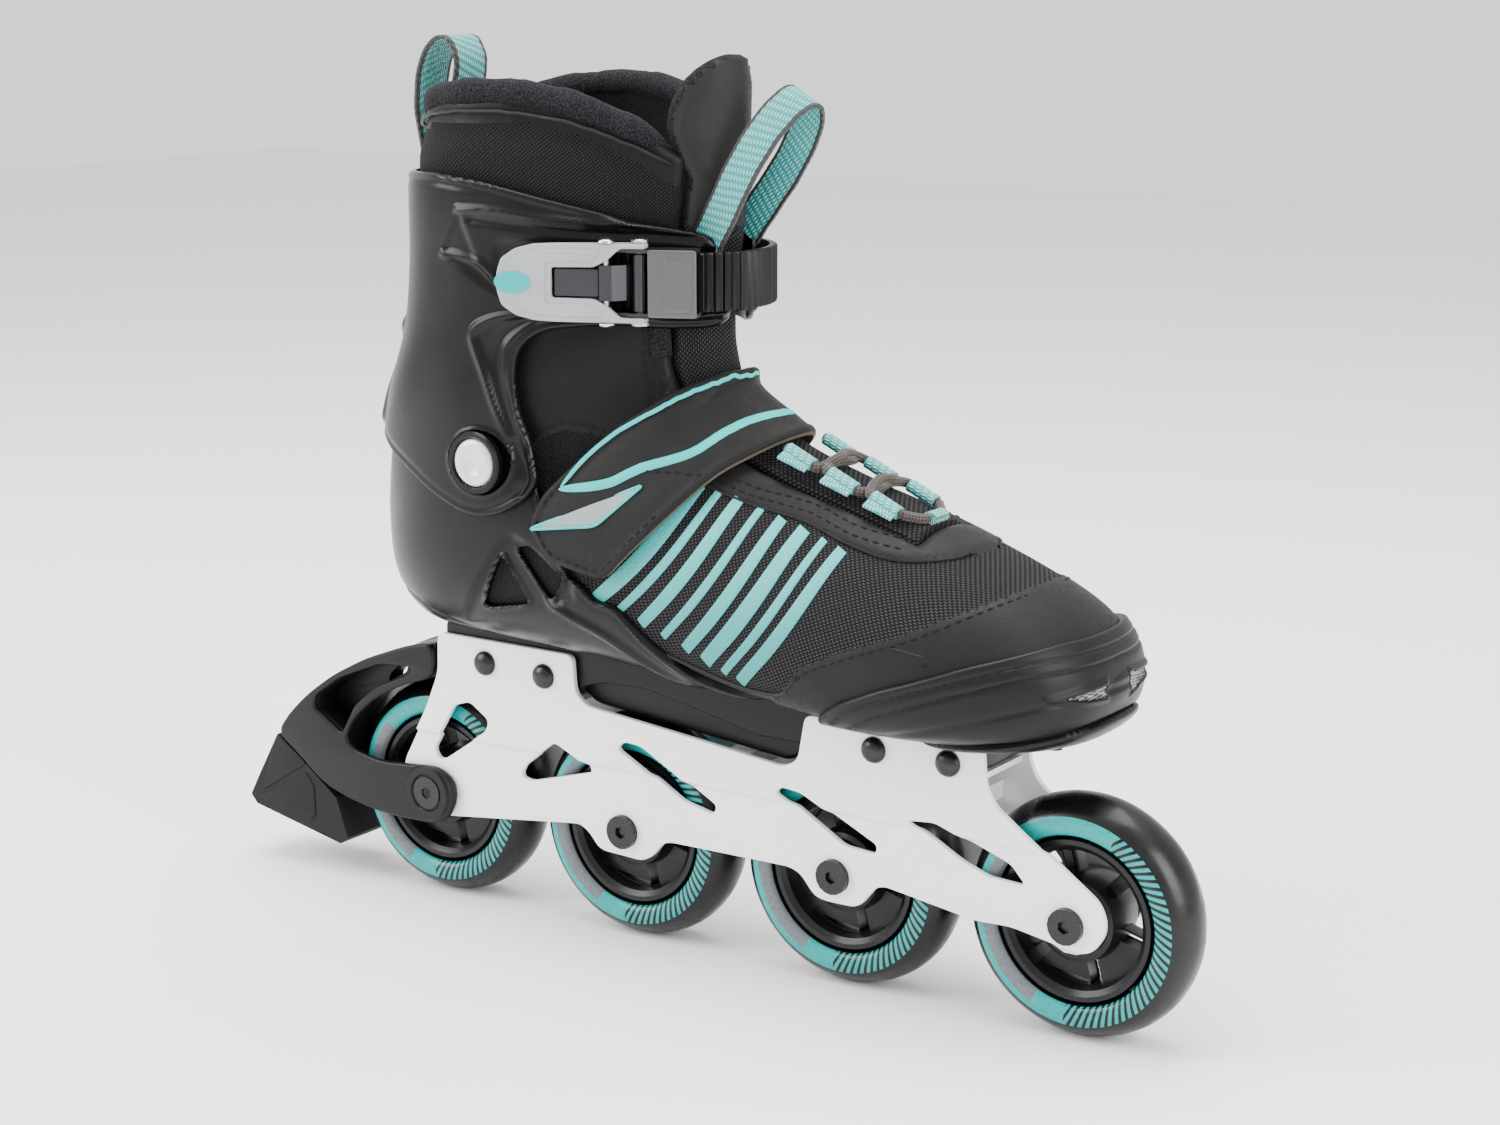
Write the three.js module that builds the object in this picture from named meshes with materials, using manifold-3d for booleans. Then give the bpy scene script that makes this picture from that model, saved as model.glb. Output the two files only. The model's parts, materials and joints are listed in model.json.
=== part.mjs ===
// A soft-boot inline skate for the right foot: four 84 mm wheels in an aluminium channel frame, a
// moulded base shell and toe cap around a sewn boot, a hinged cuff with a ratchet buckle, an instep
// strap and a heel brake. Millimetres, +Z up, +X toward the toe, +Y toward the inner side of the foot;
// the wheels stand on z = 0.
import * as THREE from "three";
import { mergeVertices } from "three/addons/utils/BufferGeometryUtils.js";
import Module from "manifold-3d";

const wasm = await Module();
wasm.setup();

// ---- Driving dimensions -------------------------------------------------------------------------

const GAP = 0.3; // clearance between pieces that touch
const WIDE = 80; // half depth of a cut that passes right through the boot
const DEEP = 20; // half depth of a cut that passes right through the frame
const CENTRE_X = 110.3; // middle of the whole skate, measured forward from the rear axle

const WHEEL_RADIUS = 42;
const WHEEL_COUNT = 4;
const AXLE_SPACING = 90.5;
const AXLE_Z = WHEEL_RADIUS;
const TYRE_HALF_WIDTH = 11.8;
const TYRE_SIDES = 24;
const HUB_RADIUS = 28.8;
const HUB_SIDES = 14;
const HUB_WINDOWS = 6;
const BEARING_RADIUS = 11;
const BEARING_WIDTH = 7;
const BEARING_INNER = 4.5; // from the wheel's middle plane to the bearing's inner face
const BORE_RADIUS = 4.15;
const AXLE_RADIUS = 3.6;
const BOLT_HEAD_RADIUS = 6.3;

const PLATE_INNER = 12.6; // lower part of the frame's side plates, from the middle plane
const PLATE_THICKNESS = 2.4;
const PLATE_STEP = 2; // how far the plates step outward above the crease
const CREASE_Z = 64.5;
const WEB_Z = 86.8; // middle of the frame's cross webs, just over the wheels
const WEB_THICKNESS = 2;

const SOLE_OFFSET = 3.3; // outer face of the moulded shell, out from the sewn boot
const CUFF_INNER = 4.1;
const CUFF_OUTER = 6.8;
const BOOT_THICKNESS = 9; // padded wall of the sewn boot
const THROAT = 17; // half width of the lacing opening
const EAR_CLEARANCE = 1.5; // how much slimmer the collar is where it moves between the shell's ears
const PIVOT_X = 52;
const PIVOT_Z = 180;
const PIVOT_RADIUS = 5.5;
const PIVOT_CAP_RADIUS = 8.7;
const PIVOT_CAP_THICKNESS = 1.8;
const STRAP_HALF = 10; // half height of the ratchet strap
const BUCKLE_TURN = THREE.MathUtils.degToRad(24);
const BUCKLE_X = 113.5; // the lever's hinge pin
const BUCKLE_Y = -33.5;
const BUCKLE_Z = 246;
const BRAKE_HALF_WIDTH = 18.3;

// ---- Materials ----------------------------------------------------------------------------------

const finish = (color, roughness, metalness = 0) =>
  new THREE.MeshStandardMaterial({ color, roughness, metalness });

const MATERIALS = {
  paintedFrame: finish(0xeceef0, 0.35, 0.2),
  urethane: finish(0x15171a, 0.3),
  hubPlastic: finish(0x202225, 0.45),
  steel: finish(0xb9bcc0, 0.3, 1),
  blackSteel: finish(0x1b1c1e, 0.4, 0.8),
  shellPlastic: finish(0x1d1e20, 0.4),
  cuffPlastic: finish(0x222326, 0.35),
  bootFabric: finish(0x232327, 0.9),
  leather: finish(0x393735, 0.6),
  insoleFoam: finish(0x2b2c2f, 0.9),
  silverCap: finish(0xd0d2d2, 0.3, 0.6),
  buckleGrey: finish(0xa9aeac, 0.4),
  darkMetal: finish(0x46484a, 0.35, 0.8),
  teal: finish(0x66d0cc, 0.6),
  strapPlastic: finish(0x1a1c1f, 0.5),
  laceCord: finish(0x2c2824, 0.9),
  brakeRubber: finish(0x1c1d20, 0.7),
};

// ---- Solids and profiles ------------------------------------------------------------------------

// A closed geometry as a manifold solid.
function solid(geometry) {
  const bare = new THREE.BufferGeometry();
  bare.setAttribute("position", geometry.getAttribute("position"));
  bare.setIndex(geometry.index);
  const merged = mergeVertices(bare, 1e-4);
  const made = new wasm.Manifold(
    new wasm.Mesh({
      numProp: 3,
      vertProperties: new Float32Array(merged.attributes.position.array),
      triVerts: new Uint32Array(merged.index.array),
    }),
  );
  return made;
}

function geometryOf(manifold) {
  const mesh = manifold.getMesh();
  const geometry = new THREE.BufferGeometry();
  geometry.setAttribute("position", new THREE.BufferAttribute(mesh.vertProperties, 3));
  geometry.setIndex(new THREE.BufferAttribute(mesh.triVerts, 1));
  geometry.computeVertexNormals();
  return geometry;
}

// An outline of [x, z] points, thickened along Y from low to high.
function slab(outline, low, high) {
  const shape = new THREE.Shape(outline.map(([x, z]) => new THREE.Vector2(x, z)));
  const geometry = new THREE.ExtrudeGeometry(shape, { depth: high - low, bevelEnabled: false });
  geometry.rotateX(Math.PI / 2);
  geometry.translate(0, high, 0);
  return solid(geometry);
}

function block(x0, x1, y0, y1, z0, z1) {
  const geometry = new THREE.BoxGeometry(x1 - x0, y1 - y0, z1 - z0);
  geometry.translate((x0 + x1) / 2, (y0 + y1) / 2, (z0 + z1) / 2);
  return solid(geometry);
}

// A closed profile of [radius, y] points turned about the Y axis, with a flat facing straight down.
function turned(profile, sides) {
  const points = profile.map(([r, y]) => new THREE.Vector2(r, y));
  const geometry = new THREE.LatheGeometry([...points, points[0]], sides, Math.PI / sides);
  return solid(geometry);
}

// A round bar along Y, centred on x and z.
function barY(x, z, radius, low, high, sides = 16) {
  const geometry = new THREE.CylinderGeometry(radius, radius, high - low, sides);
  geometry.translate(x, (low + high) / 2, z);
  return solid(geometry);
}

// A round bar along Z, centred on x and y.
function barZ(x, y, radius, low, high, sides = 12) {
  const geometry = new THREE.CylinderGeometry(radius, radius, high - low, sides);
  geometry.rotateX(Math.PI / 2);
  geometry.translate(x, y, (low + high) / 2);
  return solid(geometry);
}

// A domed rivet or button head on the outer side of the plane at y, facing the given way along Y.
function dome(x, z, radius, height, y, way, sides = 10) {
  const rings = [[radius, 0], [radius * 0.86, height * 0.6], [radius * 0.45, height]];
  const points = [[0, 0], ...rings, [0, height]].map(([r, h]) => new THREE.Vector2(r, h));
  const geometry = new THREE.LatheGeometry(points, sides);
  if (way < 0) geometry.rotateX(Math.PI);
  geometry.translate(x, y, z);
  return solid(geometry);
}

// Rings of equal length, joined in order into one closed skin with a flat fan at both ends.
function ringSkin(rings) {
  const count = rings[0].length;
  const positions = rings.flat().flatMap((p) => [p.x, p.y, p.z]);
  const index = [];
  for (let r = 0; r + 1 < rings.length; r++) {
    for (let i = 0; i < count; i++) {
      const a = r * count + i;
      const b = r * count + ((i + 1) % count);
      index.push(a, b, b + count, a, b + count, a + count);
    }
  }
  const addFan = (ring, first, flip) => {
    const centre = ring.reduce((sum, p) => sum.add(p), new THREE.Vector3()).divideScalar(count);
    const middle = positions.length / 3;
    positions.push(centre.x, centre.y, centre.z);
    for (let i = 0; i < count; i++) {
      const a = first + i;
      const b = first + ((i + 1) % count);
      index.push(...(flip ? [middle, a, b] : [middle, b, a]));
    }
  };
  addFan(rings[0], 0, false);
  addFan(rings.at(-1), (rings.length - 1) * count, true);
  const geometry = new THREE.BufferGeometry();
  geometry.setAttribute("position", new THREE.Float32BufferAttribute(positions, 3));
  geometry.setIndex(index);
  return geometry;
}

// ---- The sewn boot's outer form -----------------------------------------------------------------

// Cross-sections from the toe, back over the instep, round the heel and up the shaft. Each has its bottom or
// back point, its top or front point, its half width, how far its middle leans to the inner side, where along
// it the boot is widest, and how square its bottom and its top are (2 is round, more is squarer).
const SECTIONS = [
  { back: [276, 116], front: [276, 124], half: 9, lean: 7, widest: 0.5, square: [2, 2] },
  { back: [273, 109.5], front: [272.5, 134], half: 22, lean: 6.5, widest: 0.45, square: [2.6, 2.2] },
  { back: [264, 105.5], front: [263, 144], half: 33, lean: 5.5, widest: 0.4, square: [3, 2.2] },
  { back: [246, 103.5], front: [246, 153.5], half: 41, lean: 3.5, widest: 0.36, square: [3.5, 2.2] },
  { back: [220, 103], front: [220, 165], half: 45, lean: 1.5, widest: 0.34, square: [4, 2.1] },
  { back: [190, 103], front: [190, 176.5], half: 44.5, lean: 0.5, widest: 0.33, square: [4, 1.9] },
  { back: [160, 104.5], front: [160, 188], half: 41, lean: 0, widest: 0.33, square: [4, 1.7] },
  { back: [132, 107], front: [138, 200], half: 38.5, lean: 0, widest: 0.34, square: [3.6, 1.6] },
  { back: [98, 109], front: [129, 208], half: 37.5, lean: 0, widest: 0.36, square: [3.2, 1.6] },
  { back: [62, 110], front: [129, 214], half: 38, lean: 0, widest: 0.4, square: [2.8, 1.6] },
  { back: [28, 110.5], front: [128.5, 220], half: 39, lean: 0, widest: 0.4, square: [2.5, 1.6] },
  { back: [2, 113], front: [128, 225], half: 40, lean: 0, widest: 0.4, square: [2.3, 1.6] },
  { back: [-11, 125], front: [128, 230], half: 40.5, lean: 0, widest: 0.4, square: [2.2, 1.6] },
  { back: [-14.5, 145], front: [128, 236], half: 41.5, lean: 0, widest: 0.4, square: [2.1, 1.6] },
  { back: [-13.5, 168], front: [128.5, 242], half: 42, lean: 0, widest: 0.39, square: [2, 1.6] },
  { back: [-8.5, 192], front: [130, 249], half: 42, lean: 0, widest: 0.36, square: [2, 1.55] },
  { back: [1, 218], front: [131.5, 258], half: 42, lean: 0, widest: 0.34, square: [2, 1.5] },
  { back: [5, 243], front: [133, 269], half: 42.5, lean: 0, widest: 0.33, square: [2, 1.5] },
  { back: [6, 270], front: [133.5, 284], half: 43.5, lean: 0, widest: 0.33, square: [2, 1.6] },
  { back: [7, 302], front: [133.5, 305], half: 44.5, lean: 0, widest: 0.34, square: [2, 1.7] },
  { back: [7, 340], front: [134, 340], half: 45, lean: 0, widest: 0.34, square: [2, 1.7] },
];
const TOE_SECTIONS = 5; // sections that also move forward when the form grows
const STEPS_PER_QUARTER = 4;

// One closed ring of points round a section, pushed outward by the offset.
function sectionRing(section, order, offset) {
  const back = new THREE.Vector2(...section.back);
  const front = new THREE.Vector2(...section.front);
  const along = front.clone().sub(back).normalize();
  const reach = Math.max(offset, 2 - front.distanceTo(back) / 2);
  back.addScaledVector(along, -reach);
  front.addScaledVector(along, reach);
  const length = front.distanceTo(back);
  const half = Math.max(section.half + offset, 2);
  const forward = offset * Math.max(0, 1 - order / TOE_SECTIONS);
  const ring = [];
  for (let i = 0; i < 4 * STEPS_PER_QUARTER; i++) {
    const angle = (i / STEPS_PER_QUARTER) * (Math.PI / 2);
    const rising = Math.cos(angle) <= 0;
    const power = 2 / section.square[rising ? 1 : 0];
    const across = Math.abs(Math.sin(angle)) ** power * Math.sign(Math.sin(angle));
    const climb = Math.abs(Math.cos(angle)) ** power;
    const share = rising
      ? section.widest + (1 - section.widest) * climb
      : section.widest * (1 - climb);
    const x = back.x + along.x * length * share + forward;
    const z = back.y + along.y * length * share;
    ring.push(new THREE.Vector3(x, section.lean - half * across, z));
  }
  return ring;
}

function bootGeometry(offset) {
  return ringSkin(SECTIONS.map((section, order) => sectionRing(section, order, offset)));
}

const bootForm = (offset) => solid(bootGeometry(offset));

// The skin between two offsets of the boot's form.
const bootSkin = (inner, outer) => bootForm(outer).subtract(bootForm(inner));

// How far out the boot's form reaches along Y on one side (-1 outer, 1 inner) within a radius of x, z.
function reachOver(x, z, radius, side, offset) {
  const material = new THREE.MeshBasicMaterial({ side: THREE.DoubleSide });
  const skin = new THREE.Mesh(bootGeometry(offset), material);
  const toward = new THREE.Vector3(0, -side, 0);
  let reach = 0;
  for (let i = 0; i < 8; i++) {
    const angle = (i / 8) * 2 * Math.PI;
    const start = new THREE.Vector3(x + radius * Math.cos(angle), side * 200, z + radius * Math.sin(angle));
    const hit = new THREE.Raycaster(start, toward).intersectObject(skin)[0];
    if (hit) reach = Math.max(reach, Math.abs(hit.point.y));
  }
  return reach;
}

// ---- Wheels -------------------------------------------------------------------------------------

function tyre() {
  const rim = HUB_RADIUS + GAP;
  const crown = WHEEL_RADIUS / Math.cos(Math.PI / TYRE_SIDES);
  const side = TYRE_HALF_WIDTH;
  return turned(
    [
      [rim, -10.2],
      [33.5, -side],
      [38.2, -10.2],
      [crown, -3.6],
      [crown, 3.6],
      [38.2, 10.2],
      [33.5, side],
      [rim, 10.2],
    ],
    TYRE_SIDES,
  );
}

const HUB_BORE = 9; // between the bearing seats
const HUB_CORE = 14; // outer radius of the ring that holds the bearings
const HUB_RIM = 24; // inner radius of the rim under the tyre
const HUB_HALF_WIDTH = 10.2;
const HUB_WEB = 3; // half thickness of the web between core and rim

function hub() {
  const seat = BEARING_RADIUS + GAP;
  const shoulder = BEARING_INNER - GAP;
  const face = BEARING_INNER + BEARING_WIDTH;
  const body = turned(
    [
      [HUB_BORE, -shoulder],
      [seat, -shoulder],
      [seat, -face],
      [HUB_CORE, -face],
      [HUB_CORE, -HUB_WEB],
      [HUB_RIM, -HUB_WEB],
      [HUB_RIM, -HUB_HALF_WIDTH],
      [HUB_RADIUS, -HUB_HALF_WIDTH],
      [HUB_RADIUS, HUB_HALF_WIDTH],
      [HUB_RIM, HUB_HALF_WIDTH],
      [HUB_RIM, HUB_WEB],
      [HUB_CORE, HUB_WEB],
      [HUB_CORE, face],
      [seat, face],
      [seat, shoulder],
      [HUB_BORE, shoulder],
    ],
    HUB_SIDES,
  );
  let cut = body;
  for (let i = 0; i < HUB_WINDOWS; i++) {
    const angle = (i / HUB_WINDOWS) * 2 * Math.PI;
    const middle = (HUB_CORE + HUB_RIM) / 2;
    const reach = HUB_WEB + 2;
    cut = cut.subtract(barY(middle * Math.cos(angle), middle * Math.sin(angle), 3.6, -reach, reach, 6));
  }
  return cut;
}

function bearing(side) {
  const near = side * BEARING_INNER;
  const far = side * (BEARING_INNER + BEARING_WIDTH);
  const [low, high] = near < far ? [near, far] : [far, near];
  return turned([[BORE_RADIUS, low], [BEARING_RADIUS, low], [BEARING_RADIUS, high], [BORE_RADIUS, high]], 14);
}

function bearingSpacer() {
  const end = BEARING_INNER - GAP;
  return turned([[BORE_RADIUS, -end], [5.6, -end], [5.6, end], [BORE_RADIUS, end]], 10);
}

// A socket-head bolt along Y whose head's underside is at y = -grip.
function axleBolt(grip) {
  const head = barY(0, 0, BOLT_HEAD_RADIUS, -grip - 1.8, -grip, 16);
  const shank = barY(0, 0, AXLE_RADIUS, -grip - 0.5, PLATE_INNER + PLATE_THICKNESS + 1.2, 12);
  const socket = barY(0, 0, 2.4, -grip - 3, -grip - 0.4, 6);
  return head.add(shank).subtract(socket);
}

// ---- Frame --------------------------------------------------------------------------------------

const PLATE_OUTLINE = [
  [6, 105.7], [5.5, 90], [-0.4, 76], [-13.8, 51.7], [-13.5, 38], [-6, 33], [7.8, 33.3],
  [70.5, 41.3], [75, 38.6], [79.5, 33], [99, 32.2], [103.6, 35], [108, 40.5], [111.7, 41.5],
  [162.4, 41.9], [167, 40.3], [173, 33.2], [178, 32.2], [189, 32.3], [192, 33.7], [198, 41],
  [201.6, 42], [237, 36.8], [250.5, 37.4], [276.8, 32.9], [281.5, 34.8], [285.3, 40.8],
  [285.5, 45.9], [283, 51.8], [253.8, 72.4], [244.6, 79.1], [241, 85.6], [240, 98.9],
  [170, 98.9], [167, 82], [161, 78.8], [126, 82.6], [75.5, 87.5], [70.4, 92], [69.5, 105.7],
];
const PLATE_CUTOUTS = [
  [[1.2, 58.7], [3.7, 55.3], [6.8, 55.8], [28.2, 70.4], [29.8, 74.8], [20.9, 80.7], [13.2, 78.3]],
  [[43.2, 55], [44.9, 59.2], [60.7, 71.3], [75.8, 64.3], [76.2, 61.9], [47.9, 53.9]],
  [[89.1, 73.7], [92.5, 76.7], [99.9, 76.1], [131.7, 58.9], [130.3, 55.4], [117.3, 58.2], [101.3, 67.3]],
  [[157.7, 68.7], [160.2, 71.2], [168.1, 70.5], [198.3, 56.3], [197.6, 52.9], [185.1, 53.8], [166, 64.8]],
  [[210.8, 68], [221.9, 69.1], [250.2, 59.2], [255.9, 52.7], [241.9, 53.3], [231.2, 57.1]],
];
const RIVETS = [[29, 97], [56.5, 96], [198, 91], [227, 91]];
const RIVET_RADIUS = 2.4;
const WEB_SPANS = [[8, 66], [192, 238]]; // where the webs under the two mounting platforms run
const BRIDGES = [136, 226]; // bars that tie the plates together between the wheels
const AXLES = Array.from({ length: WHEEL_COUNT }, (_, i) => i * AXLE_SPACING);

// The frame's cross-section, a pair of plates that step outward above the crease, swept along X.
function plateSection() {
  const low = PLATE_INNER;
  const high = PLATE_INNER + PLATE_STEP;
  const rise = CREASE_Z + PLATE_STEP;
  const legs = [-1, 1].map((side) => {
    const outline = [
      [low, 20], [low + PLATE_THICKNESS, 20], [low + PLATE_THICKNESS, CREASE_Z],
      [high + PLATE_THICKNESS, rise], [high + PLATE_THICKNESS, 120], [high, 120], [high, rise],
      [low, CREASE_Z],
    ];
    const shape = new THREE.Shape(outline.map(([y, z]) => new THREE.Vector2(side * y, z)));
    const geometry = new THREE.ExtrudeGeometry(shape, { depth: 340, bevelEnabled: false });
    geometry.rotateX(Math.PI / 2);
    geometry.rotateZ(Math.PI / 2);
    geometry.translate(-30, 0, 0);
    return solid(geometry);
  });
  return legs[0].add(legs[1]);
}

function chassis() {
  let side = slab(PLATE_OUTLINE, -DEEP, DEEP);
  for (const cutout of PLATE_CUTOUTS) side = side.subtract(slab(cutout, -DEEP - 1, DEEP + 1));
  let made = side.intersect(plateSection());
  const half = PLATE_INNER + PLATE_STEP + PLATE_THICKNESS / 2;
  const webs = WEB_SPANS.map(([x0, x1]) =>
    block(x0, x1, -half, half, WEB_Z - WEB_THICKNESS / 2, WEB_Z + WEB_THICKNESS / 2));
  const bars = BRIDGES.map((x) => block(x - 5, x + 5, -half, half, 72, 78));
  for (const piece of [...webs, ...bars]) made = made.add(piece);
  for (const x of AXLES) made = made.subtract(barY(x, AXLE_Z, BORE_RADIUS, -DEEP, DEEP, 12));
  for (const [x, z] of RIVETS) made = made.subtract(barY(x, z, RIVET_RADIUS + GAP, -DEEP, DEEP, 8));
  return made;
}

// One rivet through both plates and the shell's keel, with a dome on each side.
function rivet(x, z) {
  const face = PLATE_INNER + PLATE_STEP + PLATE_THICKNESS + GAP;
  return barY(x, z, RIVET_RADIUS, -face - 0.5, face + 0.5, 8)
    .add(dome(x, z, 4.6, 2.8, -face, -1))
    .add(dome(x, z, 4.6, 2.8, face, 1));
}

// ---- Shell, toe cap and cuff --------------------------------------------------------------------

const SHELL_OUTLINE = [
  [-40, 186.5], [0, 183], [20, 180], [33, 184], [38, 194], [60, 194], [67, 188], [72, 172],
  [86, 141], [90, 140], [97, 134], [106, 133], [118, 123], [135, 112], [156, 105], [185, 104],
  [235, 104], [262, 108], [274, 112], [300, 116], [300, 90], [-40, 90],
];
const SHELL_WINDOWS = [
  [[44, 125], [57.5, 147], [67.5, 129.5]],
  [[64, 149.5], [70, 151], [84, 140], [77, 131.5]],
];
const KEEL_OUTLINE = [
  [8, 108], [8, 88.1], [69, 88.1], [74, 97], [100, 98], [125, 93], [150, 87], [166, 87],
  [170, 88.1], [238, 88.1], [238, 101], [166, 103], [120, 108],
];
const LIP_OUTLINE = [
  [150, 96], [235, 96], [262, 100], [300, 107], [300, 116], [272, 111.5], [250, 106.5],
  [220, 103.5], [187, 102.5], [150, 103.5],
];
const LIP_OFFSET = 5.5;

function baseShell() {
  let made = bootSkin(GAP, SOLE_OFFSET).intersect(slab(SHELL_OUTLINE, -WIDE, WIDE));
  for (const window of SHELL_WINDOWS) made = made.subtract(slab(window, -WIDE, WIDE));
  const lip = bootSkin(GAP, LIP_OFFSET).intersect(slab(LIP_OUTLINE, -WIDE, WIDE));
  const keelHalf = PLATE_INNER + PLATE_STEP - GAP;
  const keel = slab(KEEL_OUTLINE, -keelHalf, keelHalf).subtract(bootForm(GAP));
  made = made.add(lip).add(keel);
  for (const [x, z] of RIVETS) made = made.subtract(barY(x, z, RIVET_RADIUS + GAP, -DEEP, DEEP, 8));
  const plates = slab(PLATE_OUTLINE.map(([x, z]) => [x, z + GAP]), -DEEP, DEEP).intersect(plateSection());
  made = made.subtract(plates);
  return made.subtract(barY(PIVOT_X, PIVOT_Z, PIVOT_RADIUS + GAP, -WIDE, WIDE, 14));
}

const TOE_CAP_OUTLINE = [
  [184, 103.5], [200, 114], [216, 121], [245, 131], [266, 136.5], [300, 139], [300, 116.6],
  [272, 112.1], [250, 107.1], [220, 104.1], [187, 103.1],
];

function toeCap() {
  const aboveShell = SHELL_OUTLINE.map(([x, z]) => [x, z + GAP]);
  return bootSkin(GAP, SOLE_OFFSET)
    .intersect(slab(TOE_CAP_OUTLINE, -WIDE, WIDE))
    .subtract(slab(aboveShell, -WIDE, WIDE));
}

const CUFF_OUTLINE = [
  [-40, 276], [10, 279], [40, 281], [58, 279], [75, 275], [92, 271], [110, 266], [127, 261.5],
  [127, 229], [98, 230], [76, 228], [68, 222], [65.5, 213], [66.5, 200], [71, 187], [74.5, 173],
  [70, 167.5], [61, 162], [52, 159.5], [42, 161], [30, 167], [19, 173.5], [0, 181], [-40, 185],
];

function cuff() {
  return bootSkin(CUFF_INNER, CUFF_OUTER)
    .intersect(slab(CUFF_OUTLINE, -WIDE, WIDE))
    .subtract(barY(PIVOT_X, PIVOT_Z, PIVOT_RADIUS + GAP, -WIDE, WIDE, 14));
}

// The rivet that joins cuff and shell on one side, with a broad flat cap outside the cuff.
function cuffPivot(side) {
  const outer = reachOver(PIVOT_X, PIVOT_Z, PIVOT_CAP_RADIUS, side, CUFF_OUTER) + GAP;
  const inner = reachOver(PIVOT_X, PIVOT_Z, PIVOT_RADIUS, side, 0) + GAP;
  const span = (from, to) => (side < 0 ? [-to, -from] : [from, to]);
  const cap = barY(PIVOT_X, PIVOT_Z, PIVOT_CAP_RADIUS, ...span(outer, outer + PIVOT_CAP_THICKNESS), 18);
  const shank = barY(PIVOT_X, PIVOT_Z, PIVOT_RADIUS - 0.2, ...span(inner, outer + 0.5), 14);
  return cap.add(shank);
}

// ---- Sewn boot, tongue and insole ---------------------------------------------------------------

// The ankle gap lets the collar turn with the cuff over the foot part.
const FOOT_REGION = [
  [-60, 60], [320, 60], [320, 190], [200, 215], [128, 206], [100, 190], [52, 168], [10, 176], [-60, 180],
];
const COLLAR_REGION = [
  [-60, 186.5], [10, 182], [52, 172.5], [96, 206], [112, 220], [160, 235], [160, 267], [140, 275],
  [128, 285], [112, 297], [92, 306], [75, 310], [50, 311], [25, 308], [0, 300], [-60, 296],
];
const THROAT_REGION = [
  [214, 155], [214, 200], [170, 240], [170, 350], [96, 350], [100, 240], [112, 200], [150, 174], [190, 160],
];

function bootPart(region) {
  return bootSkin(-BOOT_THICKNESS, 0)
    .intersect(slab(region, -WIDE, WIDE))
    .subtract(slab(THROAT_REGION, -THROAT, THROAT));
}

// The collar is a little slimmer between the shell's ears, where it turns with the cuff.
function collarPart() {
  const ears = slab([[25, 165], [82, 165], [82, 200], [25, 200]], -WIDE, WIDE);
  return bootPart(COLLAR_REGION).subtract(bootSkin(-EAR_CLEARANCE, GAP).intersect(ears));
}

// The tongue fills the throat; its foot half is fixed and its shin half turns with the cuff.
function tonguePart(region) {
  const half = THROAT - 0.5;
  const band = bootSkin(-BOOT_THICKNESS, -1).intersect(slab(THROAT_REGION, -half, half));
  return band.intersect(slab(region, -WIDE, WIDE));
}

const TONGUE_TIP = [
  [112, 220], [160, 235], [160, 312], [134, 318], [128, 317], [116, 309], [90, 300], [90, 240], [104, 214],
];
const TONGUE_FOOT = [[60, 60], [213.5, 60], [213.5, 190], [200, 215], [128, 206], [100, 190]];

function insole() {
  const region = [[-30, 100], [-30, 119], [28, 122.5], [100, 121], [160, 117], [262, 114], [262, 100]];
  return bootForm(-BOOT_THICKNESS - 0.5).intersect(slab(region, -WIDE, WIDE));
}

// ---- Straps, loops and lace ---------------------------------------------------------------------

const INSTEP_INNER = 3.7;
const INSTEP_OUTER = 6.2;
const INSTEP_HINGE_Y = -22; // where the strap bends when its free end is peeled open
const INSTEP_OUTLINE = [
  [73.5, 158], [80, 147], [103, 142.5], [120, 159], [141, 180], [158, 190.5], [173, 190], [180, 205],
  [150, 225], [136, 211], [120, 200], [102, 187], [78.5, 166],
];

function instepStrap(low, high) {
  return bootSkin(INSTEP_INNER, INSTEP_OUTER).intersect(slab(INSTEP_OUTLINE, low, high));
}

const RATCHET_THICKNESS = 2.5;
const RATCHET_HINGE_X = 73; // its thin bend on the inner side, where it swings open
const RATCHET_TIP = -13; // the strap's end inside the buckle, in the buckle's frame
const RATCHET_LINE = 3.3; // its middle, in the buckle's frame
const RATCHET_ROUND = [[138, -11], [139.4, 0], [137, 12], [128, 25.5], [112, 36.5], [92, 45]];
const ANCHOR_SCREW = [49, 51.6];
const ANCHOR_PATH = [[RATCHET_HINGE_X - 1, 49.7], [61, 51], ANCHOR_SCREW, [38, 51.8]];

// A band of constant thickness along a smooth path, as a closed outline.
function bandOutline(path, thickness, steps) {
  const curve = new THREE.CatmullRomCurve3(path.map(([a, b]) => new THREE.Vector3(a, b, 0)));
  const left = [];
  const right = [];
  for (let i = 0; i <= steps; i++) {
    const at = curve.getPoint(i / steps);
    const tangent = curve.getTangent(i / steps);
    const aside = new THREE.Vector2(-tangent.y, tangent.x).multiplyScalar(thickness / 2);
    left.push([at.x + aside.x, at.y + aside.y]);
    right.unshift([at.x - aside.x, at.y - aside.y]);
  }
  return [...left, ...right];
}

// An outline of [x, y] points, thickened along Z from low to high.
function upright(outline, low, high) {
  const shape = new THREE.Shape(outline.map(([x, y]) => new THREE.Vector2(x, y)));
  const geometry = new THREE.ExtrudeGeometry(shape, { depth: high - low, bevelEnabled: false });
  geometry.translate(0, 0, low);
  return solid(geometry);
}

// A point of the buckle's frame in the skate's frame.
function fromBuckle(x, y) {
  const turned = new THREE.Vector2(x, y).rotateAround(new THREE.Vector2(0, 0), BUCKLE_TURN);
  return [BUCKLE_X + turned.x, BUCKLE_Y + turned.y];
}

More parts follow.
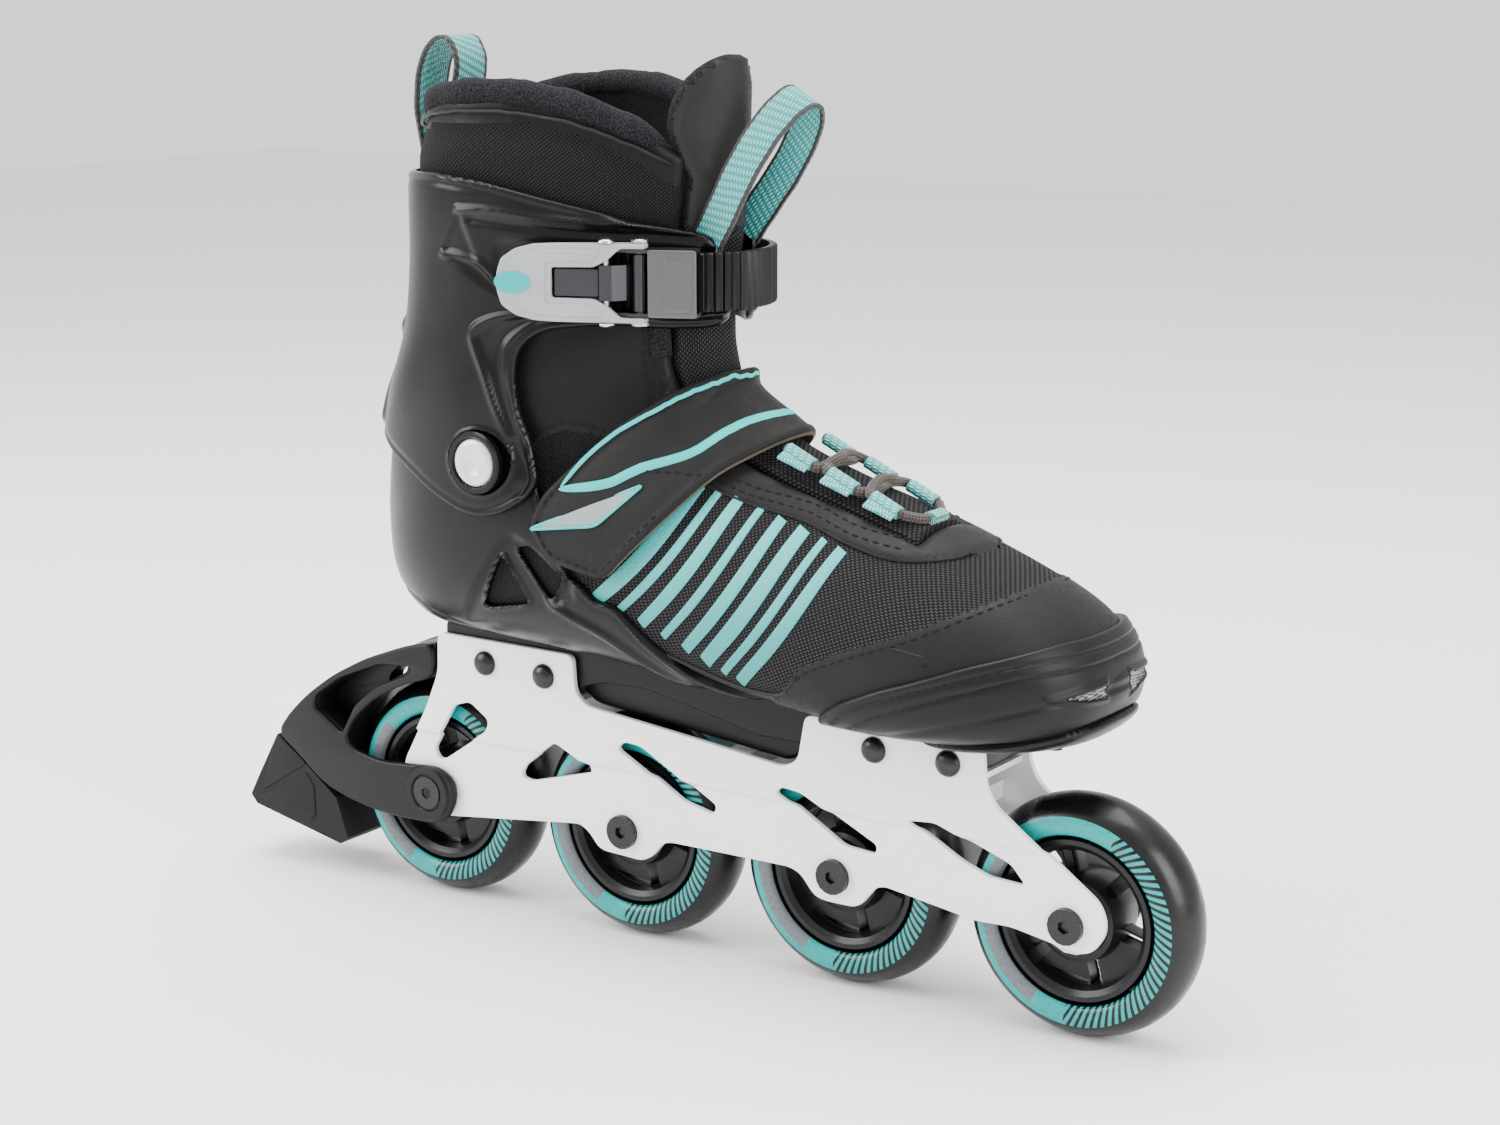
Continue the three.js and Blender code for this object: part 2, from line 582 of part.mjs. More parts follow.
// The ladder strap runs from inside the buckle, round the shin, to its living hinge on the inner side.
function ratchetStrap() {
  const straight = [RATCHET_TIP, -7, 7, 20].map((x) => fromBuckle(x, RATCHET_LINE));
  const path = [...straight, ...RATCHET_ROUND, [RATCHET_HINGE_X + 1, 49.3]];
  const outline = bandOutline(path, RATCHET_THICKNESS, 34);
  return upright(outline, BUCKLE_Z - STRAP_HALF, BUCKLE_Z + STRAP_HALF);
}

function ratchetAnchor() {
  const outline = bandOutline(ANCHOR_PATH, RATCHET_THICKNESS, 7);
  return upright(outline, BUCKLE_Z - STRAP_HALF, BUCKLE_Z + STRAP_HALF)
    .subtract(barY(ANCHOR_SCREW[0], BUCKLE_Z, 3.4, 0, WIDE, 10));
}

function anchorScrew() {
  const [x, y] = ANCHOR_SCREW;
  const face = y + RATCHET_THICKNESS / 2 + GAP;
  return barY(x, BUCKLE_Z, 5.5, face, face + 1.8, 14).add(barY(x, BUCKLE_Z, 3, y - 2, face + 0.5, 10));
}

const loopBand = (path, halfWidth) => slab(bandOutline(path, 1.6, 20), -halfWidth, halfWidth);

const REAR_LOOP = [[-2, 284], [-5, 300], [-3, 315], [3, 324], [10, 325], [14, 318], [12, 311]];
const FRONT_LOOP = [
  [134, 268], [139, 285], [149, 303], [157, 309], [160, 303], [152, 288], [141, 272], [137, 262],
];
const LACE_ROWS = [[176, 185.5], [187.5, 181], [199, 176.5], [210, 172.5]];
const LACE_RADIUS = 1.7;

// One cord that zigzags across the throat from row to row and back, clear of the tongue.
function lace() {
  const reach = THROAT - 5;
  const points = LACE_ROWS.map(([x, z], row) => new THREE.Vector3(x, row % 2 ? reach : -reach, z));
  const section = new THREE.Shape();
  section.absarc(0, 0, LACE_RADIUS, 0, Math.PI * 2);
  const path = new THREE.CatmullRomCurve3(points);
  const geometry = new THREE.ExtrudeGeometry(section, {
    steps: 30, bevelEnabled: false, extrudePath: path, curveSegments: 4,
  });
  return solid(geometry);
}

// ---- Buckle -------------------------------------------------------------------------------------
// The buckle's own frame: x forward along the strap, y toward the foot, z up; the lever's pin is its origin.

const LEVER_TAIL = -49;
const WALL_INNER = STRAP_HALF + 0.3; // the base's upper and lower walls, from the middle
const WALL_OUTER = STRAP_HALF + 1.5;
const ARM_INNER = WALL_OUTER + 0.3; // the lever's arms straddle them
const ARM_OUTER = WALL_OUTER + 1.8;
const PLATE_LOW = -4.6; // outer and inner face of the lever's thumb plate
const PLATE_HIGH = -2;
const BUTTON_FLOOR = -2.6; // bottom of the button's pocket in the thumb plate
const BUTTON_TRAVEL = 1;
const PAWL_PIN = [-11, -2.9];
const LOCK_PIN = [-17, 0.2];

// The same block above and below the middle, from inner to outer along z.
function bothSides(x0, x1, y0, y1, inner, outer) {
  return block(x0, x1, y0, y1, -outer, -inner).add(block(x0, x1, y0, y1, inner, outer));
}

function buckleBase() {
  const floor = block(-22, 1, 4.9, 5.9, -WALL_OUTER, WALL_OUTER);
  const roof = block(7, 20, -3.2, -2, -WALL_OUTER, WALL_OUTER);
  return floor
    .add(bothSides(-22, 20, -1.6, 5.9, WALL_INNER, WALL_OUTER))
    .add(bothSides(-4, 20, -3.2, 0, WALL_INNER, WALL_OUTER))
    .add(roof)
    .subtract(barZ(0, 0, 1.7, -DEEP, DEEP))
    .subtract(barZ(...LOCK_PIN, 1.5, -DEEP, DEEP, 8));
}

const LEVER_OUTLINE = [
  [LEVER_TAIL, -7], [LEVER_TAIL + 3, -9.5], [-36, -ARM_OUTER + 0.8], [-28, -ARM_OUTER], [-16, -ARM_OUTER],
  [-16, ARM_OUTER], [-28, ARM_OUTER], [-36, ARM_OUTER - 0.8], [LEVER_TAIL + 3, 9.5], [LEVER_TAIL, 7],
];

// A fork: a broad thumb plate and two side arms that straddle the base and turn on its pin.
function buckleLever() {
  return slab(LEVER_OUTLINE, PLATE_LOW, PLATE_HIGH)
    .add(bothSides(-26, 3, PLATE_LOW, 2.4, ARM_INNER, ARM_OUTER))
    .subtract(block(-28, -14, -10, 0, -7, 7))
    .subtract(block(LEVER_TAIL - 1, -38, -10, BUTTON_FLOOR, -4.6, 4.6))
    .subtract(barZ(0, 0, 1.7, -DEEP, DEEP))
    .subtract(barZ(...PAWL_PIN, 1.3, -DEEP, DEEP, 8));
}

function leverButton() {
  const end = LEVER_TAIL - 0.5;
  const outline = [[end, -4], [-41, -4.2], [-38.5, -2], [-38.5, 2], [-41, 4.2], [end, 4]];
  return slab(outline, PLATE_LOW - 1.2, BUTTON_FLOOR - GAP - BUTTON_TRAVEL);
}

// A headed rod through both arms.
function buckleRod(x, y, radius, head) {
  const half = ARM_OUTER + GAP;
  const rod = barZ(x, y, radius, -half - 0.2, half + 0.2, 10);
  return rod.add(barZ(x, y, head, half, half + 1, 12)).add(barZ(x, y, head, -half - 1, -half, 12));
}

// The drive pawl hangs on the lever and pushes the strap's teeth.
function drivePawl() {
  const outline = [[-13.2, -4.6], [-8.8, -4.6], [-4.5, -1.2], [-2.8, 1], [-4.5, 1], [-13.2, -0.9]];
  return upright(outline, -6, 6).subtract(barZ(...PAWL_PIN, 1.3, -DEEP, DEEP, 8));
}

// The lock pawl turns on its own trunnions in the base and stops the strap slipping back.
function lockPawl() {
  const outline = [[-20.3, 1], [-19, -1.3], [-15.5, -1.3], [-12.2, 0.4], [-12.5, 1]];
  return upright(outline, -9.8, 9.8).add(barZ(...LOCK_PIN, 1.2, -WALL_OUTER, WALL_OUTER, 8));
}

// ---- Heel brake ---------------------------------------------------------------------------------

const BRAKE_OUTLINE = [
  [4.8, 101.5], [-9, 98.5], [-30, 90.5], [-47, 81.5], [-61, 71.5], [-71, 62], [-77, 54], [-66, 46.5],
  [-53, 36.5], [-40, 32.5], [-26, 30], [-11, 29.5], [3, 30], [10, 33.5], [13.5, 41], [12.5, 48.5],
  [5, 53], [-12, 51.5], [-23, 50.5], [-37, 53], [-41, 57], [-37, 65], [-26, 75], [-13, 82], [4.8, 88],
];
const BRAKE_WINDOW = [
  [-57, 67], [-56, 72], [-43, 81], [-22, 89.5], [-6, 90.5], [-9, 87], [-25, 80], [-36, 71], [-43, 58.5],
];
const BRAKE_SCREW_X = -66;
const BRAKE_SCREW_RADIUS = 2.6;
const BRAKE_SLOT = [[-30, 78.5], [-29, 81.5], [-24, 86], [-20, 87], [-21, 83.5]];
const PAD_OUTLINE = [
  [-77.6, 52.8], [-66, 45.2], [-53, 35.6], [-47.5, 31.5], [-42, 16], [-46, 13], [-90, 22], [-93, 25.5],
  [-89.5, 32],
];

const screwHole = () => barZ(BRAKE_SCREW_X, 0, BRAKE_SCREW_RADIUS + GAP, 30, 60);

function brakeHousing() {
  const wheelRoom = barY(0, AXLE_Z, WHEEL_RADIUS + 2.2, -PLATE_INNER - 1, PLATE_INNER + 1, 28);
  const plateRoom = slab(
    [[5, 110], [4.8, 90], [-1.2, 76.3], [-15, 51.7], [-15, 25], [40, 25], [40, 110]],
    -PLATE_INNER - PLATE_THICKNESS - GAP, PLATE_INNER + PLATE_THICKNESS + GAP,
  );
  const upperRoom = slab([[5, 120], [4.8, 90], [-1.2, 76.3], [-8.8, 62.7], [60, 62.7], [60, 120]], -30, 30);
  let made = slab(BRAKE_OUTLINE, -BRAKE_HALF_WIDTH, BRAKE_HALF_WIDTH);
  made = made.subtract(wheelRoom).subtract(plateRoom).subtract(upperRoom);
  made = made.subtract(slab(BRAKE_WINDOW, -30, -4)).subtract(slab(BRAKE_WINDOW, 4, 30));
  made = made.subtract(slab(BRAKE_SLOT, -5, 5));
  made = made.subtract(barY(0, AXLE_Z, BORE_RADIUS, -30, 30, 12));
  made = made.subtract(barY(0, AXLE_Z, BOLT_HEAD_RADIUS + 0.4, -30, -BRAKE_HALF_WIDTH + 1.6, 16));
  return made.subtract(screwHole());
}

function brakePad() {
  return slab(PAD_OUTLINE, -BRAKE_HALF_WIDTH + 1, BRAKE_HALF_WIDTH - 1).subtract(screwHole());
}

function brakeScrew() {
  return barZ(BRAKE_SCREW_X, 0, BRAKE_SCREW_RADIUS, 30.5, 58, 10);
}

// ---- Assembly -----------------------------------------------------------------------------------

const skate = new THREE.Group();
skate.position.x = -CENTRE_X;

function place(parent, name, made, material) {
  const mesh = new THREE.Mesh(geometryOf(made), MATERIALS[material]);
  mesh.name = name;
  parent.add(mesh);
  return mesh;
}

function addWheels() {
  AXLES.forEach((x, i) => {
    const number = i + 1;
    const wheel = new THREE.Group();
    wheel.position.set(x, 0, AXLE_Z);
    place(wheel, `tyre_${number}`, tyre(), "urethane");
    place(wheel, `hub_${number}`, hub(), "hubPlastic");
    place(wheel, `bearing_outer_${number}`, bearing(-1), "steel");
    place(wheel, `bearing_inner_${number}`, bearing(1), "steel");
    place(wheel, `bearing_spacer_${number}`, bearingSpacer(), "steel");
    const underArm = i === 0;
    const grip = underArm ? BRAKE_HALF_WIDTH - 1.6 + GAP : PLATE_INNER + PLATE_THICKNESS + GAP;
    place(wheel, `axle_bolt_${number}`, axleBolt(grip), "blackSteel");
    skate.add(wheel);
  });
}

function addFrame() {
  place(skate, "chassis", chassis(), "paintedFrame");
  RIVETS.forEach(([x, z], i) => place(skate, `frame_rivet_${i + 1}`, rivet(x, z), "blackSteel"));
}

function addBoot() {
  place(skate, "base_shell", baseShell(), "shellPlastic");
  place(skate, "toe_cap", toeCap(), "shellPlastic");
  place(skate, "boot_upper", bootPart(FOOT_REGION), "bootFabric");
  place(skate, "boot_collar", collarPart(), "bootFabric");
  place(skate, "tongue_foot", tonguePart(TONGUE_FOOT), "bootFabric");
  place(skate, "tongue_shin", tonguePart(TONGUE_TIP), "leather");
  place(skate, "insole", insole(), "insoleFoam");
  place(skate, "cuff", cuff(), "cuffPlastic");
  place(skate, "cuff_pivot_outer", cuffPivot(-1), "silverCap");
  place(skate, "cuff_pivot_inner", cuffPivot(1), "silverCap");
}

function addStraps() {
  place(skate, "instep_strap", instepStrap(-WIDE, INSTEP_HINGE_Y - GAP), "leather");
  place(skate, "instep_strap_anchor", instepStrap(INSTEP_HINGE_Y + GAP, WIDE), "leather");
  place(skate, "ratchet_strap", ratchetStrap(), "strapPlastic");
  place(skate, "ratchet_anchor", ratchetAnchor(), "strapPlastic");
  place(skate, "ratchet_screw", anchorScrew(), "steel");
  place(skate, "pull_loop_rear", loopBand(REAR_LOOP, 9), "teal");
  place(skate, "pull_loop_front", loopBand(FRONT_LOOP, 7), "teal");
  place(skate, "lace", lace(), "laceCord");
}

function addBuckle() {
  const buckle = new THREE.Group();
  buckle.position.set(BUCKLE_X, BUCKLE_Y, BUCKLE_Z);
  buckle.rotation.z = BUCKLE_TURN;
  place(buckle, "buckle_base", buckleBase(), "darkMetal");
  place(buckle, "buckle_lever", buckleLever(), "buckleGrey");
  place(buckle, "lever_button", leverButton(), "teal");
  place(buckle, "lever_pin", buckleRod(0, 0, 1.4, 3), "steel");
  place(buckle, "pawl_pin", buckleRod(...PAWL_PIN, 1, 2.2), "steel");
  place(buckle, "drive_pawl", drivePawl(), "darkMetal");
  place(buckle, "lock_pawl", lockPawl(), "darkMetal");
  skate.add(buckle);
}

function addBrake() {
  place(skate, "brake_housing", brakeHousing(), "shellPlastic");
  place(skate, "brake_pad", brakePad(), "brakeRubber");
  place(skate, "brake_screw", brakeScrew(), "steel");
}

addWheels();
addFrame();
addBoot();
addStraps();
addBuckle();
addBrake();

export default skate;
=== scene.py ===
"""The looks of a right-foot inline skate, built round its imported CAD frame.

Lengths are millimetres measured forward from the rear axle, and place() turns them into the frame's
metres. The boot, shell, cuff and straps are all cut from one lofted form at different offsets.
"""

import json
import math

import bmesh
import bpy
import numpy as np
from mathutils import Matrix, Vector
from mathutils.bvhtree import BVHTree


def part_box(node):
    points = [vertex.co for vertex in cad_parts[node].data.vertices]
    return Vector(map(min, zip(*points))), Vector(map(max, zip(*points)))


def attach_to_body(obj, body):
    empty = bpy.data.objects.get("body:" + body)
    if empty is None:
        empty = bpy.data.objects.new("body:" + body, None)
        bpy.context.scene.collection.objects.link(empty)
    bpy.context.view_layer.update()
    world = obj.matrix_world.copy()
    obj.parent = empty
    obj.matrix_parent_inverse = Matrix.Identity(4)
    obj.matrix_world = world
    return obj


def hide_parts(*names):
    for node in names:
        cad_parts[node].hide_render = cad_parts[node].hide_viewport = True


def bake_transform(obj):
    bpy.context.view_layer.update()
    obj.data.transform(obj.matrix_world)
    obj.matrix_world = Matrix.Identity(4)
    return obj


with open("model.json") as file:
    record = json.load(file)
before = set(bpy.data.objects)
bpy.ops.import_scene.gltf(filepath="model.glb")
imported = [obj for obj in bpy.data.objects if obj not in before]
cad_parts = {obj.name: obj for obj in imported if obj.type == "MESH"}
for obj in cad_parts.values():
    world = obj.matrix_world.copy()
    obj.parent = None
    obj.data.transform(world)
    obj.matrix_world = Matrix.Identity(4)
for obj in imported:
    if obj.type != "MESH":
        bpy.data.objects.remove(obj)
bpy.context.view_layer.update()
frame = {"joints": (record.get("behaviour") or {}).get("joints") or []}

MM = 0.001
JOINTS = {joint["name"]: joint for joint in frame["joints"]}
REAR_AXLE = np.array(JOINTS["wheel_spin_1"]["pos_m"])
AXLE_Z = REAR_AXLE[2] / MM
WHEEL_COUNT = 4
SIDES = ((-1, "outer"), (1, "inner"))


def place(points):
    """Points in millimetres from the rear axle, as metres in the frame."""
    return np.asarray(points, float) * MM + [REAR_AXLE[0], 0, 0]


def working(point):
    """A point of the frame in millimetres from the rear axle."""
    return (np.asarray(point, float) - [REAR_AXLE[0], 0, 0]) / MM


PIVOT = working(JOINTS["cuff_flex"]["pos_m"])
LEVER_PIN = working(JOINTS["lever_swing"]["pos_m"])

# ---- Flat outlines and distances -------------------------------------------------------------------


def smooth_path(points, steps=8):
    """A Catmull-Rom curve through the points."""
    p = np.asarray(points, float)
    last = len(p) - 1
    made = []
    for i in range(last):
        a, b, c, d = p[[max(i - 1, 0), i, i + 1, min(i + 2, last)]]
        for t in np.arange(steps) / steps:
            made.append(0.5 * (2 * b + (c - a) * t + (2 * a - 5 * b + 4 * c - d) * t**2
                               + (3 * b - a - 3 * c + d) * t**3))
    made.append(p[-1])
    return np.array(made)


def run_along(path):
    """The distance along a path at each of its points."""
    return np.concatenate([[0], np.cumsum(np.linalg.norm(np.diff(path, axis=0), axis=1))])


def sampled(points, run, at):
    """Points in space at the given distances along a path whose own distances are run."""
    return np.stack([np.interp(at, run, points[:, k]) for k in range(3)], -1)


def rounded(outline, radius, steps=5):
    """A closed outline with each corner replaced by a curve of about that radius."""
    p = np.asarray(outline, float)
    made = []
    for before, here, after in zip(np.roll(p, 1, 0), p, np.roll(p, -1, 0)):
        back, on = before - here, after - here
        reach = min(radius, 0.48 * np.linalg.norm(back), 0.48 * np.linalg.norm(on))
        start = here + back / np.linalg.norm(back) * reach
        end = here + on / np.linalg.norm(on) * reach
        for t in np.linspace(0, 1, steps):
            made.append((1 - t) ** 2 * start + 2 * t * (1 - t) * here + t**2 * end)
    return np.array(made)


def shrink(outline, distance):
    """A closed outline moved inward."""
    forward = np.roll(outline, -1, 0) - np.roll(outline, 1, 0)
    forward /= np.maximum(np.linalg.norm(forward, axis=1, keepdims=True), 1e-9)
    aside = np.stack([-forward[:, 1], forward[:, 0]], -1)
    after = np.roll(outline, -1, 0)
    area = np.sum(outline[:, 0] * after[:, 1] - after[:, 0] * outline[:, 1])
    return outline + aside * distance * (1 if area > 0 else -1)


def path_distance(points, path, closed=False):
    """How far each [x, z] point is from a path."""
    path = np.asarray(path, float)
    ends = np.roll(path, -1, 0) if closed else path[1:]
    best = np.full(len(points), np.inf)
    for a, b in zip(path, ends):
        along = b - a
        share = np.clip((points - a) @ along / max(along @ along, 1e-12), 0, 1)
        best = np.minimum(best, np.linalg.norm(points - a - share[:, None] * along, axis=1))
    return best


def within(points, outline):
    """Signed distance to a closed outline: positive inside it."""
    outline = np.asarray(outline, float)
    inside = np.zeros(len(points), bool)
    x, z = points[:, 0], points[:, 1]
    for a, b in zip(outline, np.roll(outline, -1, 0)):
        crosses = (a[1] > z) != (b[1] > z)
        rise = b[1] - a[1] if b[1] != a[1] else 1e-12
        inside ^= crosses & (x < a[0] + (z - a[1]) * (b[0] - a[0]) / rise)
    distance = path_distance(points, outline, closed=True)
    return np.where(inside, distance, -distance)


def ease(value, low, high):
    """0 below low, 1 above high, and a smooth rise between."""
    t = np.clip((value - low) / (high - low), 0, 1)
    return t * t * (3 - 2 * t)


def ridge(distance, width, height):
    """A rounded ridge (or groove, if height is negative) along distance 0."""
    return height * (1 - ease(np.abs(distance), 0, width))


# ---- The boot's form -------------------------------------------------------------------------------

# From the toe back over the instep, round the heel and up the shaft: bottom or back point, top or front
# point, half width, lean to the inner side, where along it is widest, how square its bottom and top are.
SECTIONS = np.array([
    [276, 116, 276, 124, 9, 7, 0.5, 2, 2],
    [273, 109.5, 272.5, 134, 22, 6.5, 0.45, 2.6, 2.2],
    [264, 105.5, 263, 144, 33, 5.5, 0.4, 3, 2.2],
    [246, 103.5, 246, 153.5, 41, 3.5, 0.36, 3.5, 2.2],
    [220, 103, 220, 165, 45, 1.5, 0.34, 4, 2.1],
    [190, 103, 190, 176.5, 44.5, 0.5, 0.33, 4, 1.9],
    [160, 104.5, 160, 188, 41, 0, 0.33, 4, 1.7],
    [132, 107, 138, 200, 38.5, 0, 0.34, 3.6, 1.6],
    [98, 109, 129, 208, 37.5, 0, 0.36, 3.2, 1.6],
    [62, 110, 129, 214, 38, 0, 0.4, 2.8, 1.6],
    [28, 110.5, 128.5, 220, 39, 0, 0.4, 2.5, 1.6],
    [2, 113, 128, 225, 40, 0, 0.4, 2.3, 1.6],
    [-11, 125, 128, 230, 40.5, 0, 0.4, 2.2, 1.6],
    [-14.5, 145, 128, 236, 41.5, 0, 0.4, 2.1, 1.6],
    [-13.5, 168, 128.5, 242, 42, 0, 0.39, 2, 1.6],
    [-8.5, 192, 130, 249, 42, 0, 0.36, 2, 1.55],
    [1, 218, 131.5, 258, 42, 0, 0.34, 2, 1.5],
    [5, 243, 133, 269, 42.5, 0, 0.33, 2, 1.5],
    [6, 270, 133.5, 284, 43.5, 0, 0.33, 2, 1.6],
    [7, 302, 133.5, 305, 44.5, 0, 0.34, 2, 1.7],
    [7, 340, 134, 340, 45, 0, 0.34, 2, 1.7],
])
LAST = len(SECTIONS) - 1
NOSE = 1.2  # how far the toe's rounded tip stands past its first section
HALF_SAMPLES = 160


def sections_at(along):
    """The form's sections between the listed ones, by Catmull-Rom."""
    low = np.clip(np.floor(along).astype(int), 0, LAST - 1)
    t = (along - low)[:, None]
    a = SECTIONS[np.clip(low - 1, 0, LAST)]
    b = SECTIONS[low]
    c = SECTIONS[low + 1]
    d = SECTIONS[np.clip(low + 2, 0, LAST)]
    return 0.5 * (2 * b + (c - a) * t + (2 * a - 5 * b + 4 * c - d) * t**2 + (3 * b - a - 3 * c + d) * t**3)


def half_rings(sections, side):
    """Half of each section's ring, from its bottom or back to its top or front, on one side in y."""
    angle = np.linspace(0, math.pi, HALF_SAMPLES)
    back_x, back_z, front_x, front_z, half, lean, widest, low_square, high_square = sections.T[:, :, None]
    rising = np.cos(angle) <= 0
    power = 2 / np.where(rising, high_square, low_square)
    across = np.abs(np.sin(angle)) ** power
    climb = np.abs(np.cos(angle)) ** power
    share = np.where(rising, widest + (1 - widest) * climb, widest * (1 - climb))
    x = back_x + (front_x - back_x) * share
    z = back_z + (front_z - back_z) * share
    return np.stack([x, lean + side * half * across, z], -1)


def evenly(ring, shares):
    """Points at even distances along one ring, given as shares of its length."""
    run = run_along(ring)
    return sampled(ring, run, shares * run[-1])


def form_rings(along, turns):
    """The form's points at each place along it and each turn round it: 0 is its bottom or back, a quarter
    its outer side, a half its top or front, three quarters its inner side."""
    sections = sections_at(np.clip(along, 0, LAST))
    outer = turns <= 0.5
    rings = np.empty((len(along), len(turns), 3))
    outer_halves, inner_halves = half_rings(sections, -1), half_rings(sections, 1)
    for i in range(len(along)):
        rings[i, outer] = evenly(outer_halves[i], 2 * turns[outer])
        rings[i, ~outer] = evenly(inner_halves[i], 2 - 2 * turns[~outer])
    nose = np.clip(-along, 0, 1)[:, None, None]
    centre = rings.mean(1, keepdims=True)
    rings = centre + (rings - centre) * (1 - 0.98 * nose)
    rings[..., 0] += NOSE * (1 - (1 - nose[..., 0]) ** 2)
    return rings


def form_grid(span, turn, cell):
    """A grid of points about a cell apart, with its outward normals and its cloth coordinates."""
    start, end = span
    coarse = form_rings(np.linspace(start, end, 60), np.linspace(*turn, 41))
    long_way = np.linalg.norm(np.diff(coarse, axis=0), axis=2).sum(0).max()
    round_way = np.linalg.norm(np.diff(coarse, axis=1), axis=2).sum(1).max()
    rows = max(4, int(long_way / cell))
    columns = max(4, int(round_way / cell))
    whole = turn == (0, 1)
    turns = np.linspace(turn[0], turn[1], columns, endpoint=not whole)
    points = form_rings(np.linspace(start, end, rows), turns)
    down = np.gradient(points, axis=0)
    if whole:
        around = (np.roll(points, -1, 1) - np.roll(points, 1, 1)) / 2
    else:
        around = np.gradient(points, axis=1)
    normals = np.cross(around, down)
    normals /= np.maximum(np.linalg.norm(normals, axis=2, keepdims=True), 1e-9)
    step_down = np.linalg.norm(np.diff(points, axis=0), axis=2).mean(1)
    run_down = np.concatenate([[0], np.cumsum(step_down)])
    run_round = (turns - 0.5) * np.linalg.norm(around, axis=2).sum(1)[:, None] / (turn[1] - turn[0])
    cloth = np.stack([np.broadcast_to(run_down[:, None], run_round.shape), run_round], -1)
    return points, normals, cloth, whole


# ---- Cutting skins from the form -------------------------------------------------------------------

EVERYWHERE = (-1, LAST)


def grid_quads(rows, columns, whole):
    """The faces of a grid of points, which closes on itself across its columns if it is whole."""
    ids = np.arange(rows * columns).reshape(rows, columns)
    here = ids if whole else ids[:, :-1]
    after = np.roll(ids, -1, 1) if whole else ids[:, 1:]
    return np.stack([here[:-1], after[:-1], after[1:], here[1:]], -1).reshape(-1, 4)


SNAP_STEP = 0.05
SNAP_ROUNDS = 4


def snap(points, normals, keep, cell):
    """Moves points just outside a cut onto its edge, along the surface."""
    for _ in range(SNAP_ROUNDS):
        first = np.cross(normals, [0.31, 0.87, 0.38])
        first /= np.linalg.norm(first, axis=1, keepdims=True)
        second = np.cross(normals, first)
        here = keep(points)
        slope_a = (keep(points + first * SNAP_STEP) - here) / SNAP_STEP
        slope_b = (keep(points + second * SNAP_STEP) - here) / SNAP_STEP
        steep = np.maximum(slope_a**2 + slope_b**2, 0.04)
        move = -(here / steep)[:, None] * (slope_a[:, None] * first + slope_b[:, None] * second)
        size = np.linalg.norm(move, axis=1, keepdims=True)
        points = points + move * np.minimum(1, 1.5 * cell / np.maximum(size, 1e-9))
    return points


THINNEST = 0.35


def skin(keep, outer, inner, span=EVERYWHERE, turn=(0, 1), cell=1.2, relief=None, edge=0.8):
    """A wall between two offsets of the form, kept where keep() is positive, with rounded outer edges."""
    points, normals, cloth, whole = form_grid(span, turn, cell)
    quads = grid_quads(*points.shape[:2], whole)
    points, normals, cloth = points.reshape(-1, 3), normals.reshape(-1, 3), cloth.reshape(-1, 2)
    inside = keep(points) > 0
    quads = quads[inside[quads].any(1)]
    used = np.unique(quads)
    moved = used[~inside[used]]
    points[moved] = snap(points[moved], normals[moved], keep, cell)
    renumber = np.full(len(points), -1)
    renumber[used] = np.arange(len(used))
    quads = renumber[quads]
    points, normals, cloth = points[used], normals[used], cloth[used]
    depth = np.clip(keep(points), 0, edge)
    drop = edge - np.sqrt(np.maximum(edge**2 - (edge - depth) ** 2, 0))
    height = outer - drop
    if relief is not None:
        height = height + relief(points) * ease(keep(points), 0.1, 1.6)
    height = np.maximum(height, inner + THINNEST)
    return close_wall(points + normals * height[:, None], points + normals * inner, quads, cloth, points)


def close_wall(top, bottom, quads, cloth, base):
    """Two matching sheets and the walls between their edges, as one closed mesh."""
    count = len(top)
    forward = np.concatenate([quads[:, [k, (k + 1) % 4]] for k in range(4)])
    forward = forward[forward[:, 0] != forward[:, 1]]
    keys = forward[:, 0] * count + forward[:, 1]
    rim = forward[~np.isin(keys, forward[:, 1] * count + forward[:, 0])]
    walls = np.stack([rim[:, 1], rim[:, 0], rim[:, 0] + count, rim[:, 1] + count], -1)
    faces = np.concatenate([quads, quads[:, ::-1] + count, walls])
    return {
        "points": np.concatenate([top, bottom]),
        "faces": faces,
        "cloth": np.concatenate([cloth, cloth]),
        "centres": base[quads].mean(1),
        "outer_faces": len(quads),
    }


def add_mesh(name, points, faces, materials, cloth=None, paint=None, sharp=50):
    """A mesh object of points in working millimetres, smooth but for its sharp edges."""
    mesh = bpy.data.meshes.new(name)
    mesh.from_pydata(place(points).tolist(), [], [list(f) for f in faces])
    if cloth is not None:
        loops = np.empty(len(mesh.loops), int)
        mesh.loops.foreach_get("vertex_index", loops)
        layer = mesh.uv_layers.new(name="cloth")
        layer.data.foreach_set("uv", np.asarray(cloth, np.float32)[loops].ravel())
    for material in materials:
        mesh.materials.append(material)
    if paint is not None:
        mesh.polygons.foreach_set("material_index", np.asarray(paint, np.int32))
    mesh.validate()
    mesh.shade_smooth()
    mesh.set_sharp_from_angle(angle=math.radians(sharp))
    piece = bpy.data.objects.new(name, mesh)
    bpy.context.scene.collection.objects.link(piece)
    return piece


def add_skin(name, made, materials, paint=None, sharp=50):
    """A skin as an object; paint gives each outer face its material and the rest takes the last one."""
    index = None
    if paint is not None:
        index = np.full(len(made["faces"]), len(materials) - 1)
        index[: made["outer_faces"]] = paint(made["centres"])
    return add_mesh(name, made["points"], made["faces"].tolist(), materials, made["cloth"], index, sharp)


# ---- Sweeps, turned shapes and plates --------------------------------------------------------------


def circle(radius, sides=12, squash=1):
    angle = np.arange(sides) / sides * 2 * math.pi
    return np.stack([radius * np.cos(angle), radius * squash * np.sin(angle)], -1)


